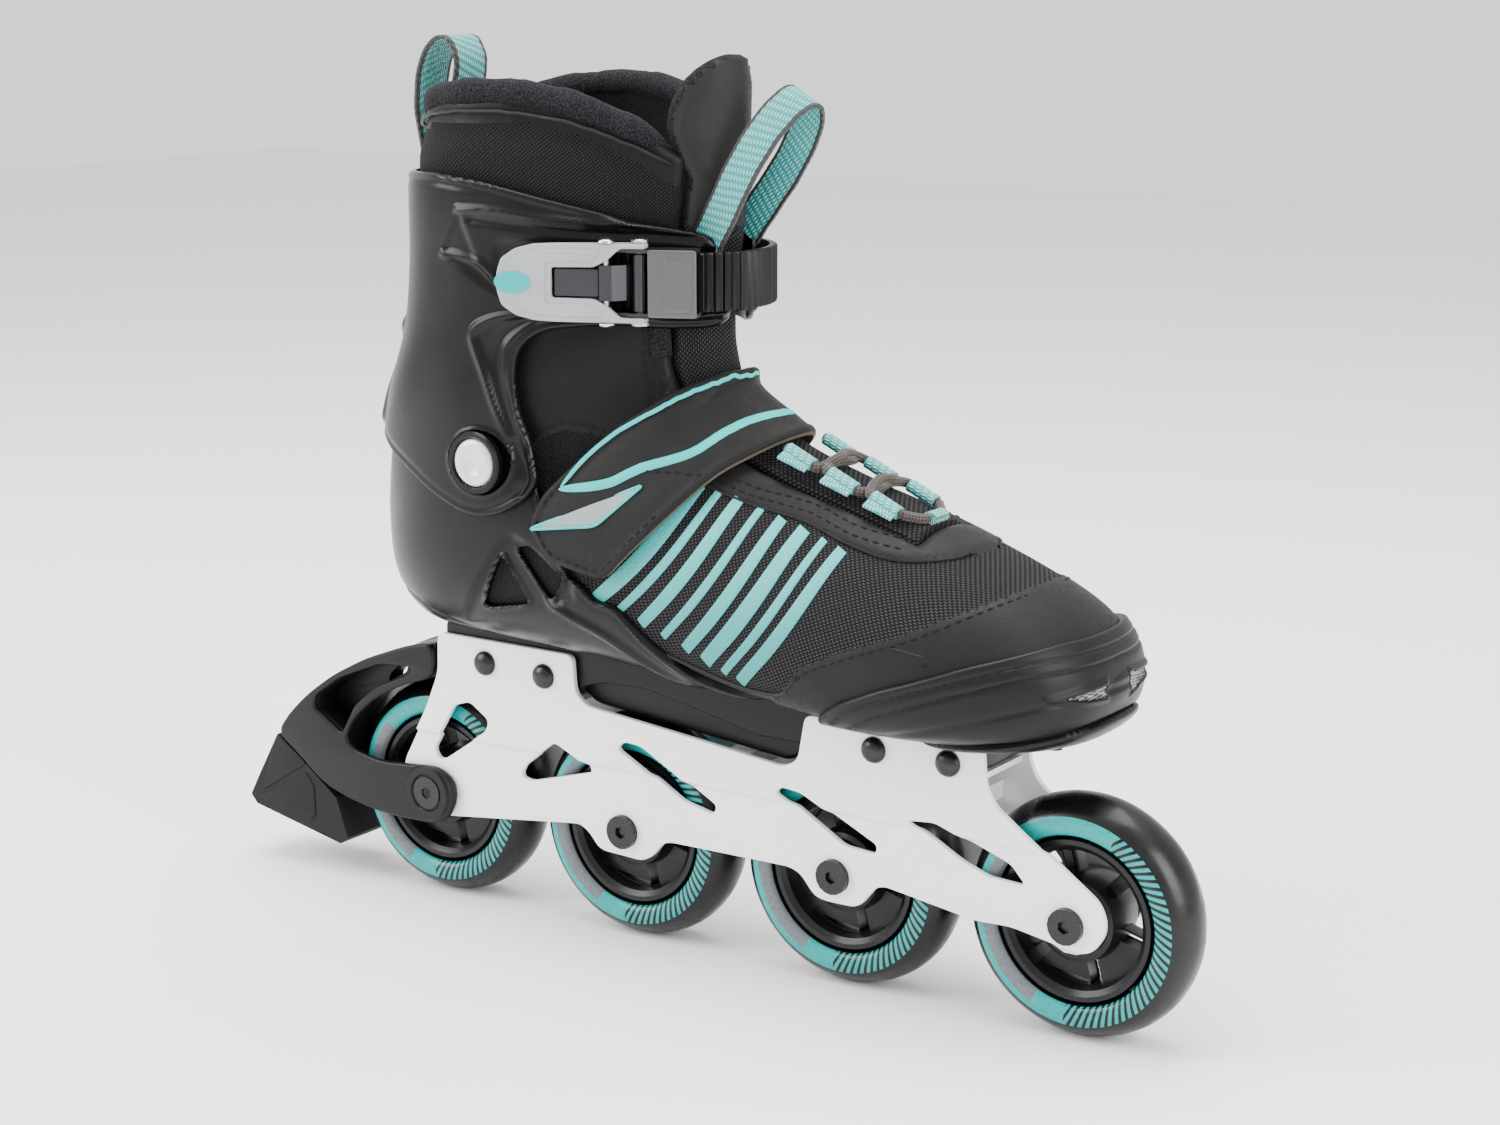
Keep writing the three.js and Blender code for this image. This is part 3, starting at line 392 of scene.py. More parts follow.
def flat_section(width, thickness, corner=0.4):
    """A strap's cross-section: width across, thickness out of its face, with rounded corners."""
    w, t = width / 2, thickness / 2
    return rounded([[-w, -t], [w, -t], [w, t], [-w, t]], corner, 3)


def sweep(path, section, up, flat=False):
    """Points, faces and cloth coordinates of a section swept along a path. The section's first axis
    follows up as nearly as it can. A flat section's cloth runs across it and a round one's round it."""
    path = np.asarray(path, float)
    tangent = np.gradient(path, axis=0)
    tangent /= np.linalg.norm(tangent, axis=1, keepdims=True)
    up = np.broadcast_to(np.asarray(up, float), path.shape)
    across = up - (up * tangent).sum(1, keepdims=True) * tangent
    across /= np.maximum(np.linalg.norm(across, axis=1, keepdims=True), 1e-9)
    out = np.cross(tangent, across)
    section = np.asarray(section, float)
    if section.ndim == 2:
        section = np.broadcast_to(section, (len(path), *section.shape))
    points = path[:, None] + section[..., :1] * across[:, None] + section[..., 1:] * out[:, None]
    count, sides = points.shape[:2]
    run = run_along(path)
    middle = section[len(section) // 2]
    girth = middle[:, 0] if flat else np.linalg.norm(middle - np.roll(middle, 1, 0), axis=1).cumsum()
    cloth = np.stack([np.repeat(run, sides), np.tile(girth, count)], -1)
    return points.reshape(-1, 3), capped_tube(count, sides), cloth


def capped_tube(count, sides):
    """The faces of a tube through matching rings of points, with both its ends."""
    last = (count - 1) * sides
    ends = [list(range(sides))[::-1], list(range(last, last + sides))]
    return grid_quads(count, sides, True).tolist() + ends


def add_sweep(name, path, section, up, material, flat=False):
    points, faces, cloth = sweep(path, section, up, flat)
    return add_mesh(name, points, faces, [material], cloth)


def rounded_ends(radius, count, sides=10, squash=1, taper=0.25):
    """A round section for each point of a path, drawn in at both ends."""
    share = np.minimum(np.arange(count), np.arange(count)[::-1]) / max(1, taper * count)
    scale = np.sqrt(np.clip(1 - (1 - np.clip(share, 0, 1)) ** 2, 0.02, 1))
    return circle(1, sides, squash)[None] * (radius * scale)[:, None, None]


def add_turned(name, centre, profile, materials, sides=64, sharp=35):
    """A closed profile of [radius, y] points turned about the Y axis through the centre."""
    profile = np.asarray(profile, float)
    angle = np.arange(sides) / sides * 2 * math.pi
    points = np.stack([
        centre[0] + profile[:, 0] * np.cos(angle)[:, None],
        centre[1] + np.broadcast_to(profile[:, 1], (sides, len(profile))),
        centre[2] + profile[:, 0] * np.sin(angle)[:, None],
    ], -1)
    ids = np.arange(sides * len(profile)).reshape(sides, len(profile))
    after = np.roll(ids, -1, 0)
    quads = np.stack([ids, np.roll(ids, -1, 1), np.roll(after, -1, 1), after], -1).reshape(-1, 4)
    return add_mesh(name, points.reshape(-1, 3), quads.tolist(), materials, sharp=sharp)


def plate_mesh(outline, holes, low, high, bevel=0.5, segments=3):
    """A flat plate of [x, z] outlines between two y values, with rounded edges, as a mesh."""
    curve = bpy.data.curves.new("plate", "CURVE")
    curve.dimensions = "2D"
    curve.fill_mode = "BOTH"
    curve.extrude = ((high - low) / 2 - bevel) * MM
    curve.bevel_depth = bevel * MM
    curve.bevel_resolution = segments
    curve.offset = -bevel * MM
    for ring in [outline, *holes]:
        spline = curve.splines.new("POLY")
        spline.points.add(len(ring) - 1)
        for point, (x, z) in zip(spline.points, ring):
            point.co = (x * MM, z * MM, 0, 1)
        spline.use_cyclic_u = True
    made = bpy.data.objects.new("plate", curve)
    bpy.context.scene.collection.objects.link(made)
    mesh = bpy.data.meshes.new_from_object(made.evaluated_get(bpy.context.evaluated_depsgraph_get()))
    bpy.data.objects.remove(made)
    bpy.data.curves.remove(curve)
    middle = (low + high) / 2
    for vertex in mesh.vertices:
        x, z, y = vertex.co
        vertex.co = (x + REAR_AXLE[0], middle * MM - y, z)
    return mesh


def join_meshes(name, meshes, materials, sharp=35):
    """Several meshes as one object."""
    joined = bmesh.new()
    for mesh in meshes:
        joined.from_mesh(mesh)
    bmesh.ops.remove_doubles(joined, verts=joined.verts, dist=1e-6)
    bmesh.ops.recalc_face_normals(joined, faces=joined.faces)
    mesh = bpy.data.meshes.new(name)
    joined.to_mesh(mesh)
    joined.free()
    for material in materials:
        mesh.materials.append(material)
    mesh.shade_smooth()
    mesh.set_sharp_from_angle(angle=math.radians(sharp))
    piece = bpy.data.objects.new(name, mesh)
    bpy.context.scene.collection.objects.link(piece)
    return piece


# ---- Points on the form ----------------------------------------------------------------------------


def form_tree():
    points, _, _, _ = form_grid(EVERYWHERE, (0, 1), 2.5)
    quads = grid_quads(*points.shape[:2], True)
    return BVHTree.FromPolygons(points.reshape(-1, 3).tolist(), quads.tolist())


FORM = form_tree()


def on_form(points, start, direction, offset):
    """Where rays from each start meet the form, moved out by the offset, with the form's normals there."""
    places, normals = [], []
    for origin in start(np.asarray(points, float)):
        hit, normal, _, _ = FORM.ray_cast(Vector(origin), Vector(direction))
        if hit is None:
            hit, normal, _, _ = FORM.find_nearest(Vector(origin))
        if normal.dot(Vector(direction)) > 0:
            normal = -normal
        places.append(hit + normal * offset)
        normals.append(normal)
    return np.array(places), np.array(normals)


def on_side(points, offset, side=-1):
    """[x, z] points on the boot's outer (-1) or inner (1) side."""
    far = 150 * side
    return on_form(points, lambda p: np.stack([p[:, 0], np.full(len(p), far), p[:, 1]], -1),
                   (0, -side, 0), offset)


def near_form(points, offset):
    """The nearest places on the form, moved out by the offset, with the form's normals there."""
    places, normals = [], []
    for point in np.asarray(points, float):
        hit, normal, _, _ = FORM.find_nearest(Vector(point))
        if normal.dot(Vector(point) - Vector((60, 0, 160))) < 0:
            normal = -normal
        places.append(hit + normal * offset)
        normals.append(normal)
    return np.array(places), np.array(normals)


STITCH_LENGTH = 2.6
STITCH_GAP = 1.3


def stitch_row(name, places, normals, material, radius=0.38):
    """Short raised threads end to end along points on a surface."""
    run = run_along(places)
    points, faces, total = [], [], 0
    for start in np.arange(STITCH_GAP, run[-1] - STITCH_LENGTH, STITCH_LENGTH + STITCH_GAP):
        at = np.linspace(start, start + STITCH_LENGTH, 5)
        path = sampled(places, run, at)
        up = sampled(normals, run, at)
        made, sides, _ = sweep(path, rounded_ends(radius, 5, 6, taper=0.5), up)
        points.append(made)
        faces += [[k + total for k in face] for face in sides]
        total += len(made)
    return add_mesh(name, np.concatenate(points), faces, [material])


def describe(replaces):
    """Hides the CAD nodes that a piece stands for."""
    if replaces:
        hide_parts(*replaces)


def attach(piece, body, replaces=()):
    """Rides a rigid piece on a body."""
    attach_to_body(piece, body)
    describe(replaces)


def attach_across_ankle(piece, replaces=()):
    """Fixes a soft piece between the foot and the cuff in place; it does not bend."""
    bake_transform(piece)
    describe(replaces)


# ---- Materials -------------------------------------------------------------------------------------


class Nodes:
    """A material's node tree, built a node at a time."""

    def __init__(self, name, color, roughness, metallic=0.0, sheen=0.0, coat=0.0, specular=0.5):
        self.material = bpy.data.materials.new(name)
        self.material.use_nodes = True
        self.tree = self.material.node_tree
        self.shader = self.tree.nodes["Principled BSDF"]
        self.set("Base Color", (*color, 1))
        self.set("Roughness", roughness)
        self.set("Metallic", metallic)
        self.set("Sheen Weight", sheen)
        self.set("Sheen Roughness", 0.4)
        self.set("Coat Weight", coat)
        self.set("Coat Roughness", 0.12)
        self.set("Specular IOR Level", specular)

    def set(self, socket, value):
        self.shader.inputs[socket].default_value = value

    def link(self, source, target):
        self.tree.links.new(source, target)

    def node(self, kind, **values):
        made = self.tree.nodes.new(kind)
        for key, value in values.items():
            if key in made.bl_rna.properties:
                setattr(made, key, value)
            else:
                made.inputs[key.replace("_", " ")].default_value = value
        return made

    def math(self, operation, a, b=0.0):
        made = self.tree.nodes.new("ShaderNodeMath")
        made.operation = operation
        for socket, value in zip(made.inputs, (a, b)):
            if isinstance(value, (int, float)):
                socket.default_value = value
            else:
                self.link(value, socket)
        return made.outputs[0]

    def times(self, a, b):
        return self.math("MULTIPLY", a, b)

    def wave(self, value, pitch):
        """A sine that repeats each time the value grows by the pitch."""
        return self.math("SINE", self.times(value, 2 * math.pi / pitch))

    def split(self, vector):
        made = self.node("ShaderNodeSeparateXYZ")
        self.link(vector, made.inputs[0])
        return made.outputs

    def place(self, scale=1000.0):
        """Position in the object's own millimetres."""
        coordinates = self.node("ShaderNodeTexCoord").outputs["Object"]
        return self.scaled(coordinates, scale)

    def scaled(self, vector, scale):
        made = self.tree.nodes.new("ShaderNodeVectorMath")
        made.operation = "SCALE"
        self.link(vector, made.inputs[0])
        made.inputs["Scale"].default_value = scale
        return made.outputs[0]

    def cloth(self):
        """Millimetres along and across the cloth, as two values."""
        made = self.node("ShaderNodeUVMap", uv_map="cloth")
        along, across, _ = self.split(made.outputs[0])
        return along, across

    def noise(self, vector, scale, detail=3.0):
        made = self.node("ShaderNodeTexNoise", Scale=scale, Detail=detail)
        self.link(vector, made.inputs["Vector"])
        return made.outputs["Fac"]

    def cells(self, vector, scale):
        made = self.node("ShaderNodeTexVoronoi", Scale=scale)
        self.link(vector, made.inputs["Vector"])
        return made.outputs["Distance"]

    def ramp(self, value, low, high, from_low=0.0, from_high=1.0):
        made = self.node("ShaderNodeMapRange")
        self.link(value, made.inputs["Value"])
        limits = {"From Min": from_low, "From Max": from_high, "To Min": low, "To Max": high}
        for socket, number in limits.items():
            made.inputs[socket].default_value = number
        return made.outputs[0]

    def mix(self, factor, first, second):
        """A colour between two, by a factor from 0 to 1."""
        made = self.node("ShaderNodeMix", data_type="RGBA")
        self.link(factor, made.inputs["Factor"])
        for socket, value in zip((made.inputs[6], made.inputs[7]), (first, second)):
            if isinstance(value, tuple):
                socket.default_value = (*value, 1)
            else:
                self.link(value, socket)
        return made.outputs[2]

    def color(self, source):
        self.link(source, self.shader.inputs["Base Color"])

    def rough(self, source):
        self.link(source, self.shader.inputs["Roughness"])

    def bump(self, height, strength, distance=0.0003):
        made = self.node("ShaderNodeBump", Strength=strength, Distance=distance)
        self.link(height, made.inputs["Height"])
        if self.shader.inputs["Normal"].is_linked:
            self.link(self.shader.inputs["Normal"].links[0].from_socket, made.inputs["Normal"])
        self.link(made.outputs[0], self.shader.inputs["Normal"])


TEAL = (0.001, 0.27, 0.26)


def plastic(name, color, roughness, grain=0.12, coat=0.0):
    """Moulded plastic with a fine texture and slight wear in its gloss."""
    made = Nodes(name, color, roughness, coat=coat, specular=0.17)
    spot = made.place()
    made.bump(made.noise(spot, 2.2, 6.0), grain, 0.0001)
    made.rough(made.ramp(made.noise(spot, 0.035, 4.0), roughness - 0.06, roughness + 0.1, 0.3, 0.7))
    lighter = tuple(c * 1.5 + 0.0005 for c in color)
    made.color(made.mix(made.noise(spot, 0.05, 5.0), color, lighter))
    return made.material


def metal(name, color, roughness, metallic=1.0):
    """Plated or painted metal with faint scratches."""
    made = Nodes(name, color, roughness, metallic)
    spot = made.place()
    made.rough(made.ramp(made.noise(spot, 0.6, 5.0), roughness - 0.08, roughness + 0.12, 0.3, 0.7))
    made.bump(made.noise(spot, 3.0, 4.0), 0.06, 0.00005)
    return made.material


def painted_frame():
    """Satin white powder coat over aluminium."""
    made = Nodes("frame_white", (0.83, 0.84, 0.85), 0.34, 0.0, coat=0.25)
    spot = made.place()
    made.bump(made.noise(spot, 1.6, 5.0), 0.08, 0.00008)
    made.rough(made.ramp(made.noise(spot, 0.05, 3.0), 0.27, 0.42, 0.3, 0.7))
    made.color(made.mix(made.noise(spot, 0.02, 3.0), (0.80, 0.81, 0.82), (0.86, 0.865, 0.87)))
    return made.material


def leather(name, color, roughness=0.55, grain=0.35):
    """Synthetic leather: small cells, broad creases and a faint sheen."""
    made = Nodes(name, color, roughness, sheen=0.006, specular=0.12)
    spot = made.place()
    made.bump(made.cells(spot, 1.1), grain, 0.00016)
    made.bump(made.noise(spot, 0.12, 4.0), 0.2, 0.0008)
    made.rough(made.ramp(made.noise(spot, 0.6, 3.0), roughness - 0.07, roughness + 0.1, 0.3, 0.7))
    lighter = tuple(c * 1.45 + 0.001 for c in color)
    made.color(made.mix(made.noise(spot, 0.08, 4.0), color, lighter))
    return made.material


def woven_height(made, along_pitch, across_pitch, slant=0.0):
    """The height of short threads in offset rows."""
    along, across = made.cloth()
    slanted = made.math("ADD", along, made.times(across, slant))
    row = made.wave(across, across_pitch)
    shift = made.times(made.math("GREATER_THAN", row, 0.0), 0.5 * along_pitch)
    thread = made.wave(made.math("ADD", slanted, shift), along_pitch)
    height = made.times(made.math("ABSOLUTE", row), made.math("ADD", thread, 1.1))
    return made.times(height, 0.48)


def mesh_cloth(name, dark, light, along_pitch=1.9, across_pitch=1.8, slant=0.5):
    """A knitted mesh of short slanted threads over a darker ground."""
    made = Nodes(name, dark, 0.75, sheen=0.01, specular=0.08)
    height = woven_height(made, along_pitch, across_pitch, slant)
    spot = made.place()
    fuzz = made.noise(spot, 3.0, 3.0)
    tone = made.times(height, made.ramp(fuzz, 0.5, 1.4, 0.3, 0.7))
    made.color(made.mix(tone, dark, light))
    made.bump(height, 0.8, 0.0005)
    made.bump(fuzz, 0.25, 0.0001)
    made.rough(made.ramp(height, 0.9, 0.5))
    return made.material


def heather(name, dark, light):
    """A fine heathered knit for linings and padded bindings."""
    made = Nodes(name, dark, 0.9, sheen=0.025, specular=0.07)
    spot = made.place()
    flecks = made.noise(spot, 1.8, 4.0)
    height = woven_height(made, 1.1, 0.9)
    made.color(made.mix(made.ramp(flecks, 0.0, 1.0, 0.42, 0.72), dark, light))
    made.bump(height, 0.4, 0.0003)
    made.bump(flecks, 0.3, 0.0002)
    return made.material


STRIPES_LOW = 110.0
STRIPES_HIGH = 165.0


def printed_film(name, low, high):
    """Printed stripes that show the mesh under them, paler toward their top."""
    made = Nodes(name, low, 0.5, sheen=0.05)
    rise = made.ramp(made.split(made.place())[2], 0.0, 1.0, STRIPES_LOW, STRIPES_HIGH)
    height = woven_height(made, 2.6, 2.4, 0.5)
    made.color(made.mix(made.times(rise, made.ramp(height, 0.7, 1.0)), low, high))
    made.bump(height, 0.35, 0.0002)
    return made.material


def webbing(name, first, second, half_width):
    """Two-colour woven webbing with black edges; across the cloth runs from the band's middle."""
    made = Nodes(name, first, 0.62, sheen=0.15)
    _, across = made.cloth()
    spot = made.place()
    height = woven_height(made, 2.8, 2.2, 0.9)
    body = made.mix(made.ramp(height, 0.0, 1.0, 0.3, 0.62), first, second)
    edge = made.math("GREATER_THAN", made.math("ABSOLUTE", across), half_width)
    made.color(made.mix(edge, body, (0.012, 0.012, 0.013)))
    made.bump(height, 0.9, 0.0006)
    made.bump(made.noise(spot, 3.0, 3.0), 0.2, 0.0001)
    return made.material


BRAID_PITCH = 2.2


def braid(name, dark, light):
    """A round braided cord: two sets of threads that cross as they wind round it."""
    made = Nodes(name, dark, 0.85, sheen=0.2)
    along, across = made.cloth()
    one = made.wave(made.math("ADD", along, across), BRAID_PITCH)
    two = made.wave(made.math("SUBTRACT", along, across), BRAID_PITCH)
    height = made.ramp(made.times(one, two), 0.0, 1.0, -1.0, 1.0)
    made.color(made.mix(height, dark, light))
    made.bump(height, 0.9, 0.0004)
    return made.material


TYRE_BLACK = (0.0035, 0.0035, 0.004)
PRINT_LOW = 29.4
PRINT_MIDDLE = 33.6
PRINT_HIGH = 36.2


def tyre_rubber():
    """Black urethane with a printed ring of pale and teal sectors, hatched where the two meet."""
    made = Nodes("urethane", TYRE_BLACK, 0.30, coat=0.08, specular=0.25)
    radius, turn = wheel_polar(made)
    ring = made.times(made.math("GREATER_THAN", radius, PRINT_LOW),
                     made.math("LESS_THAN", radius, PRINT_HIGH))
    sector = made.math("FRACT", made.math("ADD", made.times(turn, 1 / (2 * math.pi)), 0.62))
    low_band = made.math("LESS_THAN", radius, PRINT_MIDDLE)
    pale = made.times(made.math("LESS_THAN", sector, 0.3), low_band)
    hatch_zone = made.times(made.math("GREATER_THAN", sector, 0.36),
                            made.math("LESS_THAN", sector, 0.8))
    slanted = made.math("ADD", made.times(turn, 78.0), made.times(radius, 1.3))
    lines = made.times(made.math("GREATER_THAN", made.math("SINE", slanted), -0.1), hatch_zone)
    solid = made.math("SUBTRACT", 1.0, hatch_zone)
    tone = made.mix(pale, TEAL, (0.115, 0.13, 0.14))
    printed = made.times(ring, made.math("MAXIMUM", lines, solid))
    spot = made.place()
    speck = made.ramp(made.noise(spot, 0.9, 4.0), 0.82, 1.0, 0.35, 0.5)
    made.color(made.mix(made.times(printed, speck), TYRE_BLACK, tone))
    wear = made.noise(spot, 0.12, 6.0)
    made.rough(made.ramp(wear, 0.22, 0.44, 0.35, 0.7))
    made.bump(made.noise(spot, 0.7, 5.0), 0.08, 0.0002)
    return made.material


def wheel_polar(made):
    """Distance and angle round the wheel's axle."""
    x, z = made.cloth()
    squares = made.math("ADD", made.times(x, x), made.times(z, z))
    return made.math("SQRT", squares), made.math("ARCTAN2", z, x)


def hub_plastic():
    """Glossy moulded plastic of the wheel hubs."""
    made = Nodes("hub_plastic", (0.005, 0.005, 0.0055), 0.3, specular=0.25)
    spot = made.place()
    made.bump(made.noise(spot, 1.5, 5.0), 0.1, 0.0001)
    made.rough(made.ramp(made.noise(spot, 0.08, 4.0), 0.24, 0.42, 0.3, 0.7))
    return made.material


VENT_PITCH = 1.2


def silver_mesh():
    """A fine metal mesh in the toe cap's vents."""
    made = Nodes("vent_mesh", (0.25, 0.26, 0.27), 0.4, 0.7)
    along, _, rise = made.split(made.place())
    one = made.wave(along, VENT_PITCH)
    two = made.wave(rise, VENT_PITCH)
    grid = made.ramp(made.times(one, two), 0.0, 1.0, -1.0, 1.0)
    made.color(made.mix(grid, (0.02, 0.02, 0.021), (0.42, 0.43, 0.45)))
    made.bump(grid, 0.9, 0.0004)
    return made.material


def floor_finish():
    """A pale matte floor with hardly any texture."""
    made = Nodes("floor", (0.9, 0.9, 0.905), 0.75)
    spot = made.place(1.0)
    made.bump(made.noise(spot, 120.0, 3.0), 0.03, 0.0005)
    return made.material


FRAME_WHITE = painted_frame()
URETHANE = tyre_rubber()
HUB = hub_plastic()
STEEL = metal("bearing_steel", (0.55, 0.55, 0.56), 0.25)
BLACK_STEEL = metal("black_steel", (0.03, 0.03, 0.032), 0.28, 0.9)
NICKEL = metal("nickel", (0.62, 0.60, 0.57), 0.2)
SILVER = metal("silver_cap", (0.60, 0.61, 0.62), 0.3, 0.35)
DARK_METAL = metal("dark_metal", (0.05, 0.05, 0.055), 0.35, 0.9)
RECEIVER_METAL = metal("receiver_metal", (0.11, 0.11, 0.105), 0.38, 0.85)
SHELL_PLASTIC = plastic("shell_black", (0.0022, 0.0022, 0.0024), 0.3, 0.15)
TOE_PLASTIC = plastic("toe_cap_black", (0.0042, 0.0042, 0.0045), 0.36, 0.25)
CUFF_PLASTIC = plastic("cuff_black", (0.002, 0.002, 0.0022), 0.27, 0.1, coat=0.04)
BRAKE_PLASTIC = plastic("brake_black", (0.0045, 0.0045, 0.005), 0.34, 0.2)
STRAP_PLASTIC = plastic("strap_plastic", (0.006, 0.006, 0.0066), 0.36, 0.2)
BUCKLE_GREY = plastic("buckle_grey", (0.24, 0.245, 0.25), 0.32, 0.15, coat=0.1)
TEAL_PLASTIC = plastic("teal_plastic", TEAL, 0.3, 0.1, coat=0.2)
TEAL_EDGE = plastic("teal_edge", (0.015, 0.34, 0.33), 0.45, 0.2)
PAD_RUBBER = plastic("brake_rubber", (0.006, 0.006, 0.0064), 0.6, 0.5)
LEATHER = leather("boot_leather", (0.008, 0.0078, 0.0077), 0.5)
SMOOTH_LEATHER = leather("smooth_leather", (0.0045, 0.0045, 0.0048), 0.42, 0.15)
STRAP_LEATHER = leather("strap_leather", (0.0088, 0.0086, 0.0085), 0.58, 0.3)
TONGUE_LEATHER = leather("tongue_leather", (0.0125, 0.0121, 0.0118), 0.55, 0.25)
UPPER_MESH = mesh_cloth("upper_mesh", (0.003, 0.003, 0.0034), (0.046, 0.043, 0.045))
SIDE_MESH = mesh_cloth("side_mesh", (0.0025, 0.0025, 0.003), (0.024, 0.024, 0.027), 1.5, 1.4, 0.3)
LINING = heather("lining", (0.0035, 0.0035, 0.004), (0.013, 0.013, 0.015))
BINDING = heather("binding", (0.005, 0.005, 0.006), (0.030, 0.029, 0.033))
INSOLE_FOAM = heather("insole_foam", (0.012, 0.012, 0.013), (0.04, 0.04, 0.043))
RAW_EDGE = leather("raw_edge", (0.07, 0.055, 0.042), 0.75, 0.3)
THREAD = leather("thread", (0.006, 0.006, 0.0065), 0.7, 0.2)
PIPING = leather("piping", (0.010, 0.010, 0.011), 0.45, 0.2)
STRIPE = printed_film("stripe_film", (0.001, 0.20, 0.20), (0.045, 0.42, 0.40))
REFLECTIVE = leather("reflective_patch", (0.20, 0.23, 0.24), 0.4, 0.15)
LOOP_WEBBING = webbing("loop_webbing", (0.004, 0.24, 0.235), (0.22, 0.54, 0.52), 7.2)
FRONT_WEBBING = webbing("front_webbing", (0.004, 0.24, 0.235), (0.22, 0.54, 0.52), 5.1)
EYE_WEBBING = webbing("eye_webbing", (0.015, 0.31, 0.30), (0.32, 0.6, 0.58), 99)
LACE_CORD = braid("lace_cord", (0.012, 0.009, 0.008), (0.085, 0.066, 0.055))
VENT_MESH = silver_mesh()

# ---- The sewn boot ---------------------------------------------------------------------------------

BOOT_WALL = 8
THROAT_HALF = 17
THROAT = rounded([[214, 155], [214, 200], [170, 240], [170, 350], [96, 350], [100, 240], [112, 200],
                  [150, 174], [190, 160]], 6)
COLLAR_TOP = smooth_path([[-60, 293], [0, 297], [25, 305], [50, 308], [75, 307], [92, 303], [112, 294],
                          [128, 282], [142, 270], [170, 250]])
BOOT_REGION = np.concatenate([COLLAR_TOP, [[330, 250], [330, 60], [-60, 60]]])
EYESTAY = smooth_path([[112, 216], [118, 196], [131, 179], [152, 173], [176, 169], [194, 163.5], [213, 160],
                       [238, 161], [262, 159.5], [300, 158]])
EYESTAY_REGION = np.concatenate([EYESTAY, [[330, 158], [330, 350], [112, 350]]])
TOE_PANEL = [[160, 100], [178, 115], [185, 124], [205, 132.5], [224, 139.7], [249, 151], [262, 157], [300, 162],
             [330, 160], [330, 90], [160, 90]]
FOREFOOT_PANEL = [[96, 176], [88, 138], [98, 119], [150, 108], [178, 112], [185, 124], [224, 139.7], [249, 151],
                  [266, 158], [238, 164], [180, 170], [133, 182], [118, 190]]
QUARTER_SEAM = smooth_path([[110, 240], [109, 222], [110, 206], [113, 192], [116, 176]])
COLLAR_PANEL = rounded([[-60, 258], [-60, 284], [0, 288], [25, 296], [50, 299], [75, 298], [92, 294],
                         [108, 286],
                        [122, 274], [129, 258]], 8)
ANKLE_GUSSET = [[66, 186], [80, 192.5], [92, 191.5], [104, 186], [96, 174], [76, 166], [60, 170]]


def throat_opening(points):
    """Positive outside the lacing opening."""
    return np.maximum(-within(points[:, [0, 2]], THROAT), np.abs(points[:, 1]) - THROAT_HALF)


def boot_keep(points):
    return np.minimum(within(points[:, [0, 2]], BOOT_REGION), throat_opening(points))


def boot_relief(points):
    """Overlays, seams and padding on the boot's outer face."""
    flat = points[:, [0, 2]]
    eyestay = path_distance(flat, EYESTAY)
    above = within(flat, EYESTAY_REGION)
    height = 0.9 * ease(above, -0.3, 0.7) * (flat[:, 0] > 100)
    height += 0.7 * ease(within(flat, TOE_PANEL), -0.3, 0.6)
    height += ridge(path_distance(flat, QUARTER_SEAM), 1.0, -0.7)
    height += 2.6 * ease(within(flat, COLLAR_PANEL), -1, 9)
    height -= 0.5 * ease(within(flat, ANKLE_GUSSET), -0.4, 0.6)
    height += ridge(eyestay, 0.8, -0.4)
    return height


def boot_paint(centres):
    """0 mesh, 1 leather, 2 smooth leather, 3 collar mesh."""
    flat = centres[:, [0, 2]]
    paint = np.full(len(centres), 2)
    paint[within(flat, FOREFOOT_PANEL) > 0] = 0
    above = within(flat, EYESTAY_REGION)
    paint[(above > 0) & (flat[:, 0] > 100) & (flat[:, 1] < 240)] = 1
    paint[within(flat, TOE_PANEL) > 0] = 1
    paint[(within(flat, COLLAR_PANEL) > 0) | (within(flat, ANKLE_GUSSET) > 0)] = 3
    return paint


def add_boot():
    made = skin(boot_keep, 0, -BOOT_WALL, cell=1.9, relief=boot_relief, edge=2.4)
    boot = add_skin("boot_body", made, [UPPER_MESH, LEATHER, SMOOTH_LEATHER, SIDE_MESH, LINING], boot_paint, 60)
    attach_across_ankle(boot, ("boot_upper", "boot_collar"))


def edge_run(keep, turns, offset):
    """Where columns of the form cross a cut's edge, moved out by the offset."""
    along = np.linspace(14, LAST, 400)
    rings = form_rings(along, turns)
    crossing = []
    for column in rings.transpose(1, 0, 2):
        value = keep(column)
        last = np.flatnonzero(value > 0)[-1]
        crossing.append(column[last])
    crossing = np.array(crossing)
    middle = rings.mean(1)[np.argmin(np.abs(rings.mean(1)[:, None, 2] - crossing[:, 2]), axis=0)]
    outward = crossing - middle
    outward[:, 2] = 0
    outward /= np.linalg.norm(outward, axis=1, keepdims=True)
    return crossing + outward * offset, outward


COLLAR_ROLL_RADIUS = 5.4


def add_collar_roll():
    """The padded binding round the top of the boot, from one side of the tongue to the other."""
    near_front = 0.5 - 0.075
    turns = np.linspace(-near_front, near_front, 90) % 1
    path, outward = edge_run(boot_keep, turns, -COLLAR_ROLL_RADIUS * 0.75)
    path[:, 2] += 0.5
    wander = 1 + 0.05 * np.sin(np.arange(len(path)) * 0.9)
    section = rounded_ends(COLLAR_ROLL_RADIUS, len(path), 18, 0.95, 0.06) * wander[:, None, None]
    roll = add_sweep("collar_roll", path, section, outward, BINDING)
    attach(roll, "cuff")
    seam, seam_out = edge_run(boot_keep, turns, 0.3)
    seam[:, 2] -= COLLAR_ROLL_RADIUS
    seam += seam_out * 1.2
    add_piping("collar_piping", seam, seam_out, 0.85, "cuff")


def add_piping(name, path, normals, radius, body):
    piping = add_sweep(name, path, rounded_ends(radius, len(path), 8, 0.8, 0.03), normals, PIPING)
    attach(piping, body)


